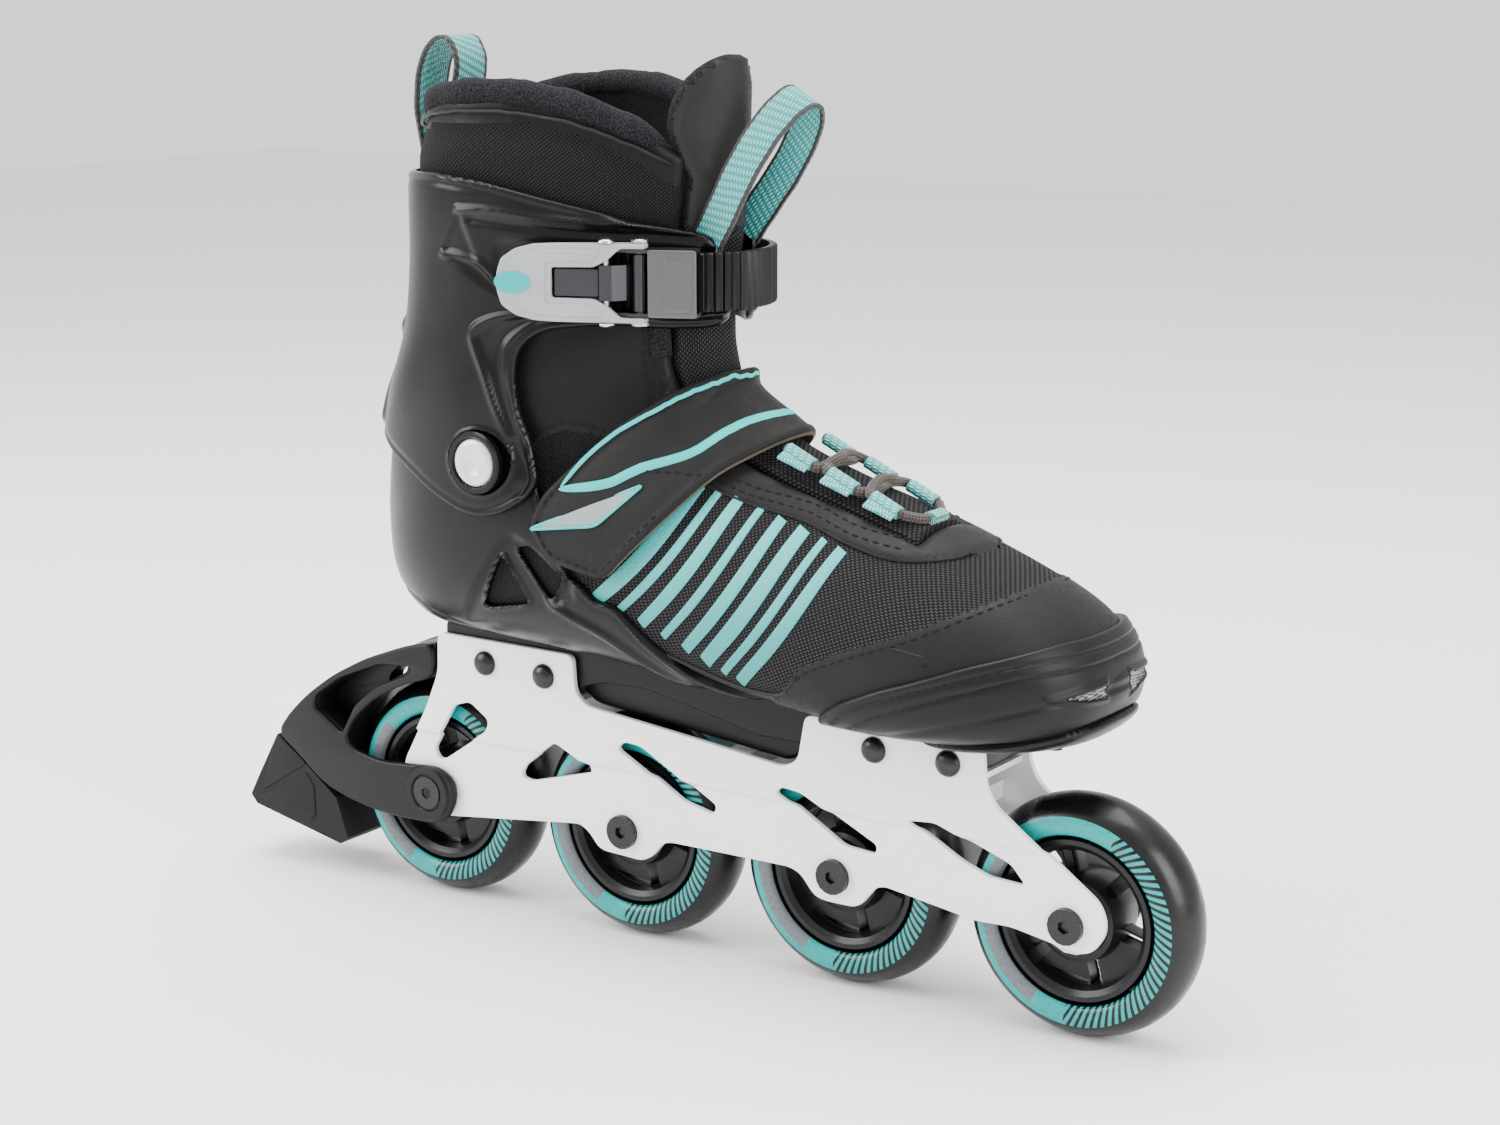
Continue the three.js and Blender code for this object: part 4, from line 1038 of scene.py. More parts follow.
TONGUE_REGION = rounded([[60, 60], [215, 60], [215, 190], [176, 232], [176, 330], [96, 330], [96, 200]], 5)
TONGUE_FLARE = [[280, 16.4], [288, 19.5], [297, 22]]
TIP_START = 297
TIP_HALF = 22
TIP_RISE = 24.5
TIP_SQUARENESS = 2.4


def tongue_reach(height):
    """The tongue's half width at a height: it flares above the collar."""
    flare = smooth_path(TONGUE_FLARE, 6)
    return np.interp(height, flare[:, 0], flare[:, 1])


def tongue_inside(points):
    """Signed distance in from the tongue's side edges and tip."""
    aside = np.abs(points[:, 1])
    rise = np.maximum(points[:, 2] - TIP_START, 0)
    bow = ((aside / TIP_HALF) ** TIP_SQUARENESS + (rise / TIP_RISE) ** TIP_SQUARENESS) ** (1 / TIP_SQUARENESS)
    return np.where(rise > 0, (1 - bow) * TIP_HALF, tongue_reach(points[:, 2]) - aside)


def tongue_keep(points):
    flat = points[:, [0, 2]]
    below = np.minimum(within(flat, THROAT), within(flat, TONGUE_REGION))
    return np.minimum(np.where(points[:, 2] > 270, 40, below), tongue_inside(points)) + np.where(
        points[:, 0] < 96, -50, 0)


def tongue_relief(points):
    """Padding that swells inside the tongue's bound edge, with quilting lines across it."""
    inside = tongue_inside(points)
    swell = 1.5 * ease(inside, 1.5, 7)
    binding = 0.9 * (1 - ease(inside, 1.6, 2.6))
    lines = sum(ridge(points[:, 2] - z, 1.6, -0.8) for z in (243, 262, 281))
    return swell + binding + lines * (inside > 4)


def tongue_paint(centres):
    return np.where(centres[:, 2] < 264, 3, np.where(tongue_inside(centres) < 1.2, 1, 0))


def add_tongue():
    made = skin(tongue_keep, -1, -6.5, span=(4, LAST), turn=(0.34, 0.66), cell=1.2,
                relief=tongue_relief, edge=2)
    tongue = add_skin("tongue", made, [TONGUE_LEATHER, BINDING, LINING, UPPER_MESH, LINING], tongue_paint, 60)
    attach_across_ankle(tongue, ("tongue_foot", "tongue_shin"))


STRIPE_TOPS = [[133, 177.5], [141, 175.8], [149, 173.8], [158, 171.6], [167, 169.2], [176.5, 166.8],
               [185, 164.4], [192.5, 162]]
STRIPE_FEET = [[96, 134], [105.5, 131], [115.5, 128], [125, 124.8], [134.5, 121.6], [143, 118.6],
               [151, 116], [158, 113.8]]
STRIPE_WIDTHS = [6.2, 3.4, 5, 3.4, 5, 6.2, 3.4, 5]
STRIPE_BOW = 3.5


def ribbon_on_side(name, centre, widths, offset, thickness, side, material):
    """A thin flat band laid on the boot's side along [x, z] points."""
    centre = np.asarray(centre, float)
    along = np.gradient(centre, axis=0)
    along /= np.linalg.norm(along, axis=1, keepdims=True)
    aside = np.stack([-along[:, 1], along[:, 0]], -1)
    lanes = np.linspace(-0.5, 0.5, 7)
    widths = np.broadcast_to(widths, len(centre))
    flat = centre[:, None] + aside[:, None] * (lanes[None, :, None] * widths[:, None, None])
    places, normals = on_side(flat.reshape(-1, 2), offset, side)
    rows, columns = flat.shape[:2]
    quads = grid_quads(rows, columns, False)
    if side > 0:
        quads = quads[:, ::-1]
    run = run_along(centre)
    cloth = np.stack([np.repeat(run, columns), (lanes[None] * widths[:, None]).ravel()], -1)
    edge = np.minimum(np.abs(np.abs(lanes) - 0.5), 1) > 0.01
    drop = np.where(np.tile(edge, rows), 0, 0.25 * thickness)[:, None]
    made = close_wall(places - normals * drop, places - normals * thickness, quads, cloth, places)
    return add_skin(name, made, [material], sharp=60)


def add_stripes():
    for side, name in SIDES:
        for i, (top, foot, width) in enumerate(zip(STRIPE_TOPS, STRIPE_FEET, STRIPE_WIDTHS)):
            top, foot = np.array(top), np.array(foot)
            t = np.linspace(0, 1, 22)[:, None]
            across = np.array([-(foot - top)[1], (foot - top)[0]]) / np.linalg.norm(foot - top)
            line = top + (foot - top) * t + across * STRIPE_BOW * np.sin(t * math.pi)
            widths = width * (0.82 + 0.18 * np.sin(t[:, 0] * math.pi))
            stripe = ribbon_on_side(f"stripe_{name}_{i + 1}", line, widths, 0.55, 0.75, side, STRIPE)
            attach(stripe, "root")


SEAMS = {
    "eyestay_seam_1": ([[122, 188], [133, 181], [152, 175.2], [176, 171.2], [194, 165.8], [213, 162.2]], 1.0),
    "eyestay_seam_2": ([[124, 191], [134, 183.5], [152, 177.6], [176, 173.6], [194, 168.2], [212, 164.8]], 1.0),
    "toe_seam": ([[183, 118], [188, 122.5], [206, 130.5], [225, 137.6], [248, 148.5], [262, 154]], 0.8),
    "quarter_stitches": ([[107.5, 238], [106.5, 222], [107.5, 207]], 0.35),
    "ankle_stitches": ([[70, 190.5], [80, 194.5], [92, 193.5], [103, 188.5]], 0.35),
}
PIPINGS = {
    "rand_piping": (
        [[90, 133], [99, 123.5], [118, 119.5], [140, 114.5], [160, 111.5], [176, 113], [184, 121]], 0.8),
    "eyestay_piping": ([[117, 195], [122, 186], [132, 178.6], [152, 172.8], [176, 168.8], [194, 163.4],
                        [213, 159.8], [238, 160.8], [258, 159.6]], 0.6),
}


def add_seams():
    for side, name in SIDES:
        for title, (line, lift) in SEAMS.items():
            places, normals = on_side(smooth_path(line, 12), lift, side)
            stitches = stitch_row(f"{title}_{name}", places, normals, THREAD)
            body = "cuff" if title.startswith("quarter") else "root"
            attach(stitches, body)
        for title, (line, radius) in PIPINGS.items():
            places, normals = on_side(smooth_path(line, 12), 0.35, side)
            add_piping(f"{title}_{name}", places, normals, radius, "root")
        line = smooth_path([[112.5, 238], [111.5, 228], [111.8, 219]], 10)
        strip = ribbon_on_side(f"quarter_binding_{name}", line, 6.0, 1.5, 1.4, side, BINDING)
        attach(strip, "cuff")

# ---- Shell, toe cap and cuff -----------------------------------------------------------------------

SHELL_OUTER = 3.3
SHELL_OUTLINE = rounded([
    [-40, 186.5], [0, 183], [20, 180], [33, 184], [38, 194], [60, 194], [67, 188], [72, 172], [86, 141],
    [90, 140], [97, 134], [106, 133], [118, 123], [135, 112], [156, 105], [185, 103.6], [235, 103.6],
    [262, 107.6], [274, 111.6], [310, 116], [310, 60], [-40, 60],
], 3)
SHELL_WINDOWS = [
    rounded([[44, 125], [57.5, 147], [67.5, 129.5]], 2.5),
    rounded([[64, 149.5], [70, 151], [84, 140], [77, 131.5]], 2.5),
]
WINDOW_RECESS = rounded([[28, 117], [61.5, 157], [88, 142], [90, 133], [70, 127]], 5)
WING = smooth_path([[76, 132], [85, 128], [100, 123], [115, 116], [129, 109], [144, 103], [158, 100],
                    [185, 98]])
WING_LOW = smooth_path([[94, 108], [112, 102], [132, 96], [149, 91]])
HEEL_RIB = smooth_path([[-30, 128], [0, 125], [20, 118], [40, 112], [70, 109], [95, 107]])
LIP_OUTER = 5.5
LIP_OUTLINE = [[150, 96.2], [187, 97], [227, 98.6], [258, 101.8], [284, 107.5], [310, 112], [310, 122],
               [279, 112.8], [251, 107], [218, 103.2], [187, 102.2], [150, 103.2]]
KEEL_OUTLINE = rounded([
    [8, 110], [8, 88.3], [69, 88.3], [73, 94], [82, 96.5], [100, 97], [125, 92.5], [148, 87.4], [166, 87.4],
    [170, 88.3], [238, 88.3], [238, 104], [166, 106], [120, 112],
], 2)
KEEL_HALF = 14.2
# Painted shade: a black plate that fills the gap below the keel's arch, between the frame plates, where one
# would otherwise see through.
ARCH_SHADE_OUTLINE = rounded([[70, 108], [70, 92], [76, 87.6], [126, 82.8], [160, 79.4], [166, 83], [169, 99],
                        [150, 103], [110, 108]], 3)


def shell_keep(points):
    flat = points[:, [0, 2]]
    keep = within(flat, SHELL_OUTLINE)
    for window in SHELL_WINDOWS:
        keep = np.minimum(keep, -within(flat, window))
    return keep


def shell_relief(points):
    """Sunk walls round the windows, the wing's crease and a rib round the heel."""
    flat = points[:, [0, 2]]
    recess = -1.5 * ease(within(flat, WINDOW_RECESS), -0.5, 3.5)
    wing = ridge(path_distance(flat, WING), 2.6, 1.5)
    low = ridge(path_distance(flat, WING_LOW), 2.2, -1.0)
    heel = ridge(path_distance(flat, HEEL_RIB), 1.5, -0.8)
    rim = ridge(path_distance(flat, SHELL_OUTLINE[: len(SHELL_OUTLINE) // 2 + 20]) - 2.2, 1.0, -0.35)
    return recess + wing + low + heel + rim


def lip_relief(points):
    flat = points[:, [0, 2]]
    return ridge(path_distance(flat, smooth_path([[150, 99.5], [187, 99.6], [227, 101], [258, 104.4],
                                                  [284, 110], [310, 117]])), 1.2, -0.6)


def add_shell():
    made = skin(shell_keep, SHELL_OUTER, 0.3, cell=1.15, relief=shell_relief, edge=1.0)
    shell = add_skin("shell", made, [SHELL_PLASTIC], sharp=42)
    attach(shell, "root", ("base_shell",))
    made = skin(lambda p: within(p[:, [0, 2]], LIP_OUTLINE), LIP_OUTER, SHELL_OUTER - 0.5, span=(-1, 8),
                cell=1.0, relief=lip_relief, edge=0.9)
    lip = add_skin("sole_lip", made, [SHELL_PLASTIC], sharp=42)
    attach(lip, "root")
    keel = join_meshes("keel", [plate_mesh(KEEL_OUTLINE, [], -KEEL_HALF, KEEL_HALF, 0.8)], [SHELL_PLASTIC])
    attach(keel, "root")
    # The arch plate is painted shade: a black sheet set where the gap under the arch shows only shadow.
    arch_shade = join_meshes("arch_shade_plate", [plate_mesh(ARCH_SHADE_OUTLINE, [], -11.6, 11.6, 1.4)], [SHELL_PLASTIC])
    attach(arch_shade, "root")
    behind = [rounded([[40, 122], [57, 150], [71, 127]], 2),
              rounded([[61, 150], [71, 154], [88, 141], [77, 128]], 2)]
    for i, outline in enumerate(behind):
        made = skin(lambda p: within(p[:, [0, 2]], outline), 0.28, -1.5, span=(6, 14), cell=1.4, edge=0.3)
        attach(add_skin(f"window_mesh_{i + 1}", made, [SIDE_MESH]), "root")
    for i, (x, y) in enumerate([(248, -20), (248, 20), (262, -8), (262, 8)]):
        nub = add_turned_z(f"sole_nub_{i + 1}", (x, y, 99.5),
                           [[0.2, 0], [2.6, 0], [3.2, 1.2], [3.2, 5], [0.2, 5]],
                           [SHELL_PLASTIC])
        attach(nub, "root")


def add_turned_z(name, centre, profile, materials):
    """A closed profile of [radius, z] points turned about an upright axis."""
    piece = add_turned(name, (0, 0, 0), profile, materials, 32)
    co = np.empty(len(piece.data.vertices) * 3)
    piece.data.vertices.foreach_get("co", co)
    points = working(co.reshape(-1, 3))
    turned_up = np.stack([points[:, 0], -points[:, 2], points[:, 1]], -1) + centre
    piece.data.vertices.foreach_set("co", place(turned_up).astype(np.float32).ravel())
    return piece


TOE_CAP_OUTLINE = rounded([
    [184, 103.9], [200, 114], [216, 121], [245, 131], [266, 136.5], [310, 139.5], [310, 116.4], [274, 112],
    [262, 108], [250, 107.1], [235, 103.9],
], 2)
TOE_GROOVES = [
    smooth_path([[196, 108], [208, 114.2], [222, 119.6], [247, 127.8], [268, 132.5], [310, 135]]),
    smooth_path([[203, 107.5], [212, 111.4], [226, 116.6], [249, 124.3], [269, 128.7], [310, 131]]),
]
TOE_BULGE = smooth_path([[212, 106], [230, 110], [250, 115], [268, 119.5], [280, 121]])
VENT = rounded([[269, 121], [283, 124.6], [283, 116.2]], 1.6)
VENT_HOOD = rounded([[264.5, 121.2], [286, 127.4], [286, 114.5]], 2.5)


def vent_inside(points, outline):
    """Signed distance to one of the two vents, on either side of the toe."""
    inside = within(points[:, [0, 2]], outline)
    return np.minimum(inside, np.abs(points[:, 1] - 3) - 7)


def toe_relief(points):
    flat = points[:, [0, 2]]
    height = sum(ridge(path_distance(flat, groove), 0.9, -0.75) for groove in TOE_GROOVES)
    height += ridge(path_distance(flat, TOE_BULGE), 1.6, -0.6)
    hood = 0.9 * ease(vent_inside(points, VENT_HOOD), -1, 1)
    height += hood - 1.7 * ease(vent_inside(points, VENT), -0.3, 0.8)
    return height


def add_toe_cap():
    made = skin(lambda p: within(p[:, [0, 2]], TOE_CAP_OUTLINE), SHELL_OUTER, 0.3, span=(-1, 8), cell=0.8,
                relief=toe_relief, edge=1.2)
    cap = add_skin("toe_cover", made, [TOE_PLASTIC, VENT_MESH, TOE_PLASTIC],
                   lambda centres: (vent_inside(centres, VENT) > 0.3).astype(int), sharp=42)
    attach(cap, "root", ("toe_cap",))


CUFF_INNER = 4.1
CUFF_OUTER = 6.8
CUFF_OUTLINE = rounded([
    [-40, 276], [10, 279], [40, 281], [58, 279], [75, 275], [92, 271], [110, 266], [127, 261.5],
    [127, 229], [98, 230], [76, 228], [68, 222], [65.5, 213], [66.5, 200], [71, 187], [74.5, 173],
    [70, 167.5], [61, 162], [52, 159.5], [42, 161], [30, 167], [19, 173.5], [0, 181], [-40, 185],
], 5)
PIVOT_FLAT = PIVOT[[0, 2]]
RING_RADIUS = 12.2
SPEAR = rounded([[40, 254], [48, 268], [54, 251], [63, 240], [69, 236], [55, 243.5]], 1.5)
SPEAR_RIDGE = smooth_path([[41, 253.5], [56, 250], [65, 237.5]])
TOP_RIB = smooth_path([[48, 269], [60, 269.5], [79, 267.5], [108, 266], [140, 265]])
TOP_RIB_LOW = smooth_path([[52, 266], [79, 263.6], [108, 262], [140, 261]])
MID_RIB = smooth_path([[63, 190], [59, 200], [56, 209], [52, 220], [51, 226], [55, 230], [65, 233],
                       [86, 234], [114, 234], [140, 235]])
ARM_EDGE = smooth_path([[72, 233], [62, 226], [59, 217], [61, 203], [64, 190], [69, 176], [68, 170]])
BUCKLE_BAY = rounded([[60, 259], [150, 256], [150, 239], [62, 238]], 4)
REAR_BLOCK = rounded([[-40, 236], [-14, 233], [2, 228], [12, 223], [4, 214], [-1, 198], [-1, 184],
                      [-40, 184]], 5)


def cuff_relief(points):
    """Ribs and hollows moulded into the cuff."""
    flat = points[:, [0, 2]]
    front = points[:, 0] > 20
    ring = np.linalg.norm(flat - PIVOT_FLAT, axis=1)
    height = -0.9 * (1 - ease(ring, RING_RADIUS - 1.6, RING_RADIUS - 0.6))
    height += ridge(ring - RING_RADIUS, 1.1, 0.7)
    height += -1.1 * ease(within(flat, SPEAR), -0.9, 1.9) + ridge(path_distance(flat, SPEAR_RIDGE), 2.2, 1.0)
    ribs = ridge(path_distance(flat, TOP_RIB), 2.2, 1.4) + ridge(path_distance(flat, TOP_RIB_LOW), 2.0, -0.9)
    away = ring > RING_RADIUS + 1
    ribs += ridge(path_distance(flat, MID_RIB), 2.4, 1.4) * away
    ribs += ridge(path_distance(flat, ARM_EDGE), 3.8, -1.3) * away
    ribs -= 0.9 * ease(within(flat, BUCKLE_BAY), -1.5, 1.5)
    height += ribs * front
    height += 1.5 * ease(within(flat, REAR_BLOCK), -1.5, 1.5)
    height += ridge(within(flat, CUFF_OUTLINE) - 3.0, 1.9, -0.4)
    return height


def cuff_keep(points):
    flat = points[:, [0, 2]]
    keep = within(flat, CUFF_OUTLINE)
    return np.minimum(keep, np.linalg.norm(flat - PIVOT_FLAT, axis=1) - 6)


def add_cuff():
    made = skin(cuff_keep, CUFF_OUTER, CUFF_INNER, span=(9, LAST), cell=0.95, relief=cuff_relief, edge=1.9)
    attach(add_skin("cuff_shell", made, [CUFF_PLASTIC], sharp=42), "cuff", ("cuff",))


def add_pivots():
    """A dished silver cap in a black ring, on each side of the cuff."""
    for side, name in SIDES:
        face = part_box(f"cuff_pivot_{name}")[0 if side < 0 else 1][1] / MM
        cap = [[0.01, 0.9], [3.4, 0.75], [4.4, 0.3], [6.0, 0.15], [7.6, 0.35], [8.3, 0.9], [8.6, 1.6],
               [8.6, 2.6], [0.01, 2.6]]
        ring = [[8.8, 1.0], [9.4, 0.4], [10.6, 0.4], [11.2, 1.2], [11.2, 3.2], [8.8, 3.2]]
        centre = (PIVOT[0], face, PIVOT[2])
        turned_parts = (("cap", cap, SILVER, "silver_cap"), ("ring", ring, CUFF_PLASTIC, "cuff_black"))
        for title, profile, material, slot in turned_parts:
            turned = [[r, -side * (y - 0.4)] for r, y in profile]
            facing = turned if side < 0 else turned[::-1]
            piece = add_turned(f"pivot_{title}_{name}", centre, facing, [material])
            node = (f"cuff_pivot_{name}",) if title == "cap" else ()
            attach(piece, "root" if title == "cap" else "cuff", node)


# ---- Wheels, frame and brake -----------------------------------------------------------------------

WHEEL_RADIUS = 42
TYRE_PROFILE = smooth_path([
    [28.9, -7.5], [29.6, -10.2], [31.0, -11.3], [33.5, -11.8], [36.2, -11.2], [38.7, -9.2], [40.6, -6.2],
    [41.7, -3.0], [42.0, 0], [41.7, 3.0], [40.6, 6.2], [38.7, 9.2], [36.2, 11.2], [33.5, 11.8], [31.0, 11.3],
    [29.6, 10.2], [28.9, 7.5],
], 4)
HUB_WINDOW_COUNT = 6
SPOKE_HALF = 4.2


def wheel_cloth(piece, axle_x):
    """Stores each point's place from its axle, which the tyre's print is laid out by."""
    layer = piece.data.uv_layers.new(name="cloth")
    for loop, uv in zip(piece.data.loops, layer.data):
        x, _, z = working(piece.data.vertices[loop.vertex_index].co)
        uv.uv = (x - axle_x, z - AXLE_Z)


def hub_window(index):
    """One opening between two spokes, wider toward the rim."""
    middle = 2 * math.pi * (index + 0.25) / HUB_WINDOW_COUNT
    outline = []
    for radius, low, high in ((15.2, -1, 1), (23.4, 1, -1)):
        half = math.pi / HUB_WINDOW_COUNT - SPOKE_HALF / radius / 1.6
        for t in np.linspace(low, high, 9):
            angle = middle + half * t
            outline.append([radius * math.cos(angle), radius * math.sin(angle)])
    return rounded(outline, 1.2, 3)


def hub_mesh(axle_x):
    web = plate_mesh([[24.5 * math.cos(a) + axle_x, 24.5 * math.sin(a) + AXLE_Z]
                      for a in np.linspace(0, 2 * math.pi, 72, endpoint=False)],
                     [hub_window(i) + [axle_x, AXLE_Z] for i in range(HUB_WINDOW_COUNT)], -3.4, 3.4, 0.6)
    return web


HUB_RIM = [[28.7, -7.5], [28.7, 7.5], [27.9, 9.6], [26.2, 9.6], [24.4, 8.2], [23.6, 3], [23.6, -3],
           [24.4, -8.2],
           [26.2, -9.6], [27.9, -9.6]]
HUB_CORE = [[11.3, -10.0], [12.6, -10.2], [14.2, -9.2], [15.4, -3.2], [15.4, 3.2], [14.2, 9.2], [12.6, 10.2],
            [11.3, 10.0], [11.2, 4.6], [9.2, 4.4], [9.2, -4.4], [11.2, -4.6]]


def turned_mesh(axle_x, profile):
    piece = add_turned("part", (axle_x, 0, AXLE_Z), profile, [])
    mesh = piece.data
    bpy.data.objects.remove(piece)
    return mesh


BOLT_HEAD = [[0.01, 1.6], [2.4, 1.6], [2.6, 0.2], [4.4, 0.0], [5.8, 0.5], [6.3, 1.4], [6.3, 3.2], [0.01, 3.2]]


def add_wheels():
    for i in range(WHEEL_COUNT):
        number = i + 1
        axle_x = float(working(JOINTS[f"wheel_spin_{number}"]["pos_m"])[0])
        body = f"wheel_{number}"
        tyre = add_turned(f"tyre_{number}_cover", (axle_x, 0, AXLE_Z),
                          TYRE_PROFILE, [URETHANE], 120, sharp=60)
        wheel_cloth(tyre, axle_x)
        attach(tyre, body, (f"tyre_{number}",))
        hub = join_meshes(f"hub_{number}_spokes", [hub_mesh(axle_x), turned_mesh(axle_x, HUB_RIM),
                                                   turned_mesh(axle_x, HUB_CORE)], [HUB])
        attach(hub, body, (f"hub_{number}",))
        bolt_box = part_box(f"axle_bolt_{number}")
        face = bolt_box[0][1] / MM
        bolt = add_turned(f"axle_{number}_head", (axle_x, face, AXLE_Z), BOLT_HEAD, [BLACK_STEEL], 48)
        attach(bolt, "root")


PLATE_OUTLINE = rounded([
    [6, 105.7], [5.5, 90], [-0.4, 76], [-13.8, 51.7], [-13.5, 38], [-6, 33], [7.8, 33.3], [70.5, 41.3],
    [75, 38.6], [79.5, 33], [99, 32.2], [103.6, 35], [108, 40.5], [111.7, 41.5], [162.4, 41.9], [167, 40.3],
    [173, 33.2], [178, 32.2], [189, 32.3], [192, 33.7], [198, 41], [201.6, 42], [237, 36.8], [250.5, 37.4],
    [276.8, 32.9], [281.5, 34.8], [285.3, 40.8], [285.5, 45.9], [283, 51.8], [253.8, 72.4], [244.6, 79.1],
    [241, 85.6], [240, 98.9], [170, 98.9], [167, 82], [161, 78.8], [126, 82.6], [75.5, 87.5], [70.4, 92],
    [69.5, 105.7],
], 3.2)
PLATE_CUTOUTS = [
    [[1.2, 58.7], [3.7, 55.3], [6.8, 55.8], [28.2, 70.4], [29.8, 74.8], [20.9, 80.7], [13.2, 78.3]],
    [[43.2, 55], [44.9, 59.2], [60.7, 71.3], [75.8, 64.3], [76.2, 61.9], [47.9, 53.9]],
    [[89.1, 73.7], [92.5, 76.7], [99.9, 76.1], [131.7, 58.9], [130.3, 55.4], [117.3, 58.2], [101.3, 67.3]],
    [[157.7, 68.7], [160.2, 71.2], [168.1, 70.5], [198.3, 56.3], [197.6, 52.9], [185.1, 53.8], [166, 64.8]],
    [[210.8, 68], [221.9, 69.1], [250.2, 59.2], [255.9, 52.7], [241.9, 53.3], [231.2, 57.1]],
]
PLATE_INNER = 12.6
PLATE_OUTER = 15.0
PLATE_STEP = 2
CREASE = (64.5, 66.5)


def frame_plate(side):
    """One side plate, which steps outward above its crease."""
    low, high = (-PLATE_OUTER, -PLATE_INNER) if side < 0 else (PLATE_INNER, PLATE_OUTER)
    holes = [rounded(hole, 2.2) for hole in PLATE_CUTOUTS]
    mesh = plate_mesh(PLATE_OUTLINE, holes, low, high, 0.45)
    shaped = bmesh.new()
    shaped.from_mesh(mesh)
    for height in (CREASE[0], CREASE[0] + 0.7, CREASE[1] - 0.7, CREASE[1]):
        everything = shaped.verts[:] + shaped.edges[:] + shaped.faces[:]
        bmesh.ops.bisect_plane(shaped, geom=everything, plane_co=(0, 0, height * MM), plane_no=(0, 0, 1))
    for vertex in shaped.verts:
        rise = ease(vertex.co.z / MM, *CREASE)
        vertex.co.y += side * PLATE_STEP * float(rise) * MM
    shaped.to_mesh(mesh)
    shaped.free()
    return mesh


def box_mesh(low, high, bevel=0.5):
    x0, y0, z0 = low
    x1, y1, z1 = high
    return plate_mesh([[x0, z0], [x1, z0], [x1, z1], [x0, z1]], [], y0, y1, bevel)


def add_frame():
    half = PLATE_INNER + PLATE_STEP + 0.6
    meshes = [frame_plate(-1), frame_plate(1)]
    meshes += [box_mesh((x0, -half, 85.8), (x1, half, 87.8)) for x0, x1 in ((8, 66), (192, 238))]
    meshes += [box_mesh((x - 5, -half, 72), (x + 5, half, 78), 1.2) for x in (136, 226)]
    plates = join_meshes("frame_plates", meshes, [FRAME_WHITE], 30)
    attach(plates, "root", ("chassis",))
    for i in range(4):
        low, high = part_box(f"frame_rivet_{i + 1}")
        x, _, z = working((low + high) / 2)
        dome = [[0.01, 0], [1.6, 0.05], [3.2, 0.6], [4.3, 1.5], [4.7, 2.4], [4.7, 2.9], [0.01, 2.9]]
        for side, name in SIDES:
            face = (low if side < 0 else high)[1] / MM
            profile = [[r, y if side < 0 else -y] for r, y in dome]
            head = add_turned(f"rivet_{i + 1}_{name}", (x, face, z), profile if side < 0 else profile[::-1],
                              [BLACK_STEEL], 40)
            attach(head, "root", (f"frame_rivet_{i + 1}",) if side < 0 else ())


def finish_node(node, material, bevel):
    """Gives a CAD node its material and soft edges."""
    piece = bpy.data.objects[node]
    piece.data.materials.clear()
    piece.data.materials.append(material)
    if bevel:
        rounding = piece.modifiers.new("edges", "BEVEL")
        rounding.width = bevel * MM
        rounding.segments = 3
        rounding.limit_method = "ANGLE"
        rounding.angle_limit = math.radians(35)
        rounding.harden_normals = True


BRAKE_HALF = 18.3
CHEEK_INNER = 15.4
BRAKE_CHEEK = rounded([
    [4.6, 101.5], [-9, 98.5], [-30, 90.5], [-47, 81.5], [-61, 71.5], [-71, 62], [-77, 54], [-66, 46.5],
    [-53, 36.5], [-40, 32.5], [-26, 30], [-11, 29.5], [3, 30], [10, 33.5], [13.5, 41], [12.5, 48.5],
    [5, 53], [-12, 51.5], [-23, 50.5], [-37, 53], [-41, 57], [-37, 65], [-26, 75], [-13, 82], [4.6, 88],
], 6)
BRAKE_WINDOW = rounded([[-57, 67], [-56, 72], [-43, 81], [-22, 89.5], [-6, 90.5], [-9, 87], [-25, 80],
                        [-36, 71], [-43, 58.5]], 2.5)
BRAKE_SLOT = rounded([[-30, 78.5], [-29, 81.5], [-24, 86], [-20, 87], [-21, 83.5]], 1)
PAD_PANELS = [
    rounded([[-86.5, 28], [-62.5, 43], [-66.5, 46], [-77, 52.5], [-79.5, 49]], 1.5),
    rounded([[-89, 25.5], [-61, 20], [-58.5, 22.5], [-58.8, 34.5], [-63, 39.5], [-84, 27.6]], 1.5),
]


def brake_core():
    """The housing between its cheeks, hollowed round the wheel."""
    angle = np.radians(np.linspace(190, 94, 14))
    hollow = np.stack([(WHEEL_RADIUS + 2.3) * np.cos(angle), AXLE_Z + (WHEEL_RADIUS + 2.3) * np.sin(angle)], -1)
    back = [[4, 88], [4, 101], [-9, 98], [-30, 90], [-47, 81], [-61, 71], [-71, 61.5], [-76.5, 54], [-66, 46.8],
            [-53, 37]]
    return np.concatenate([hollow, back])


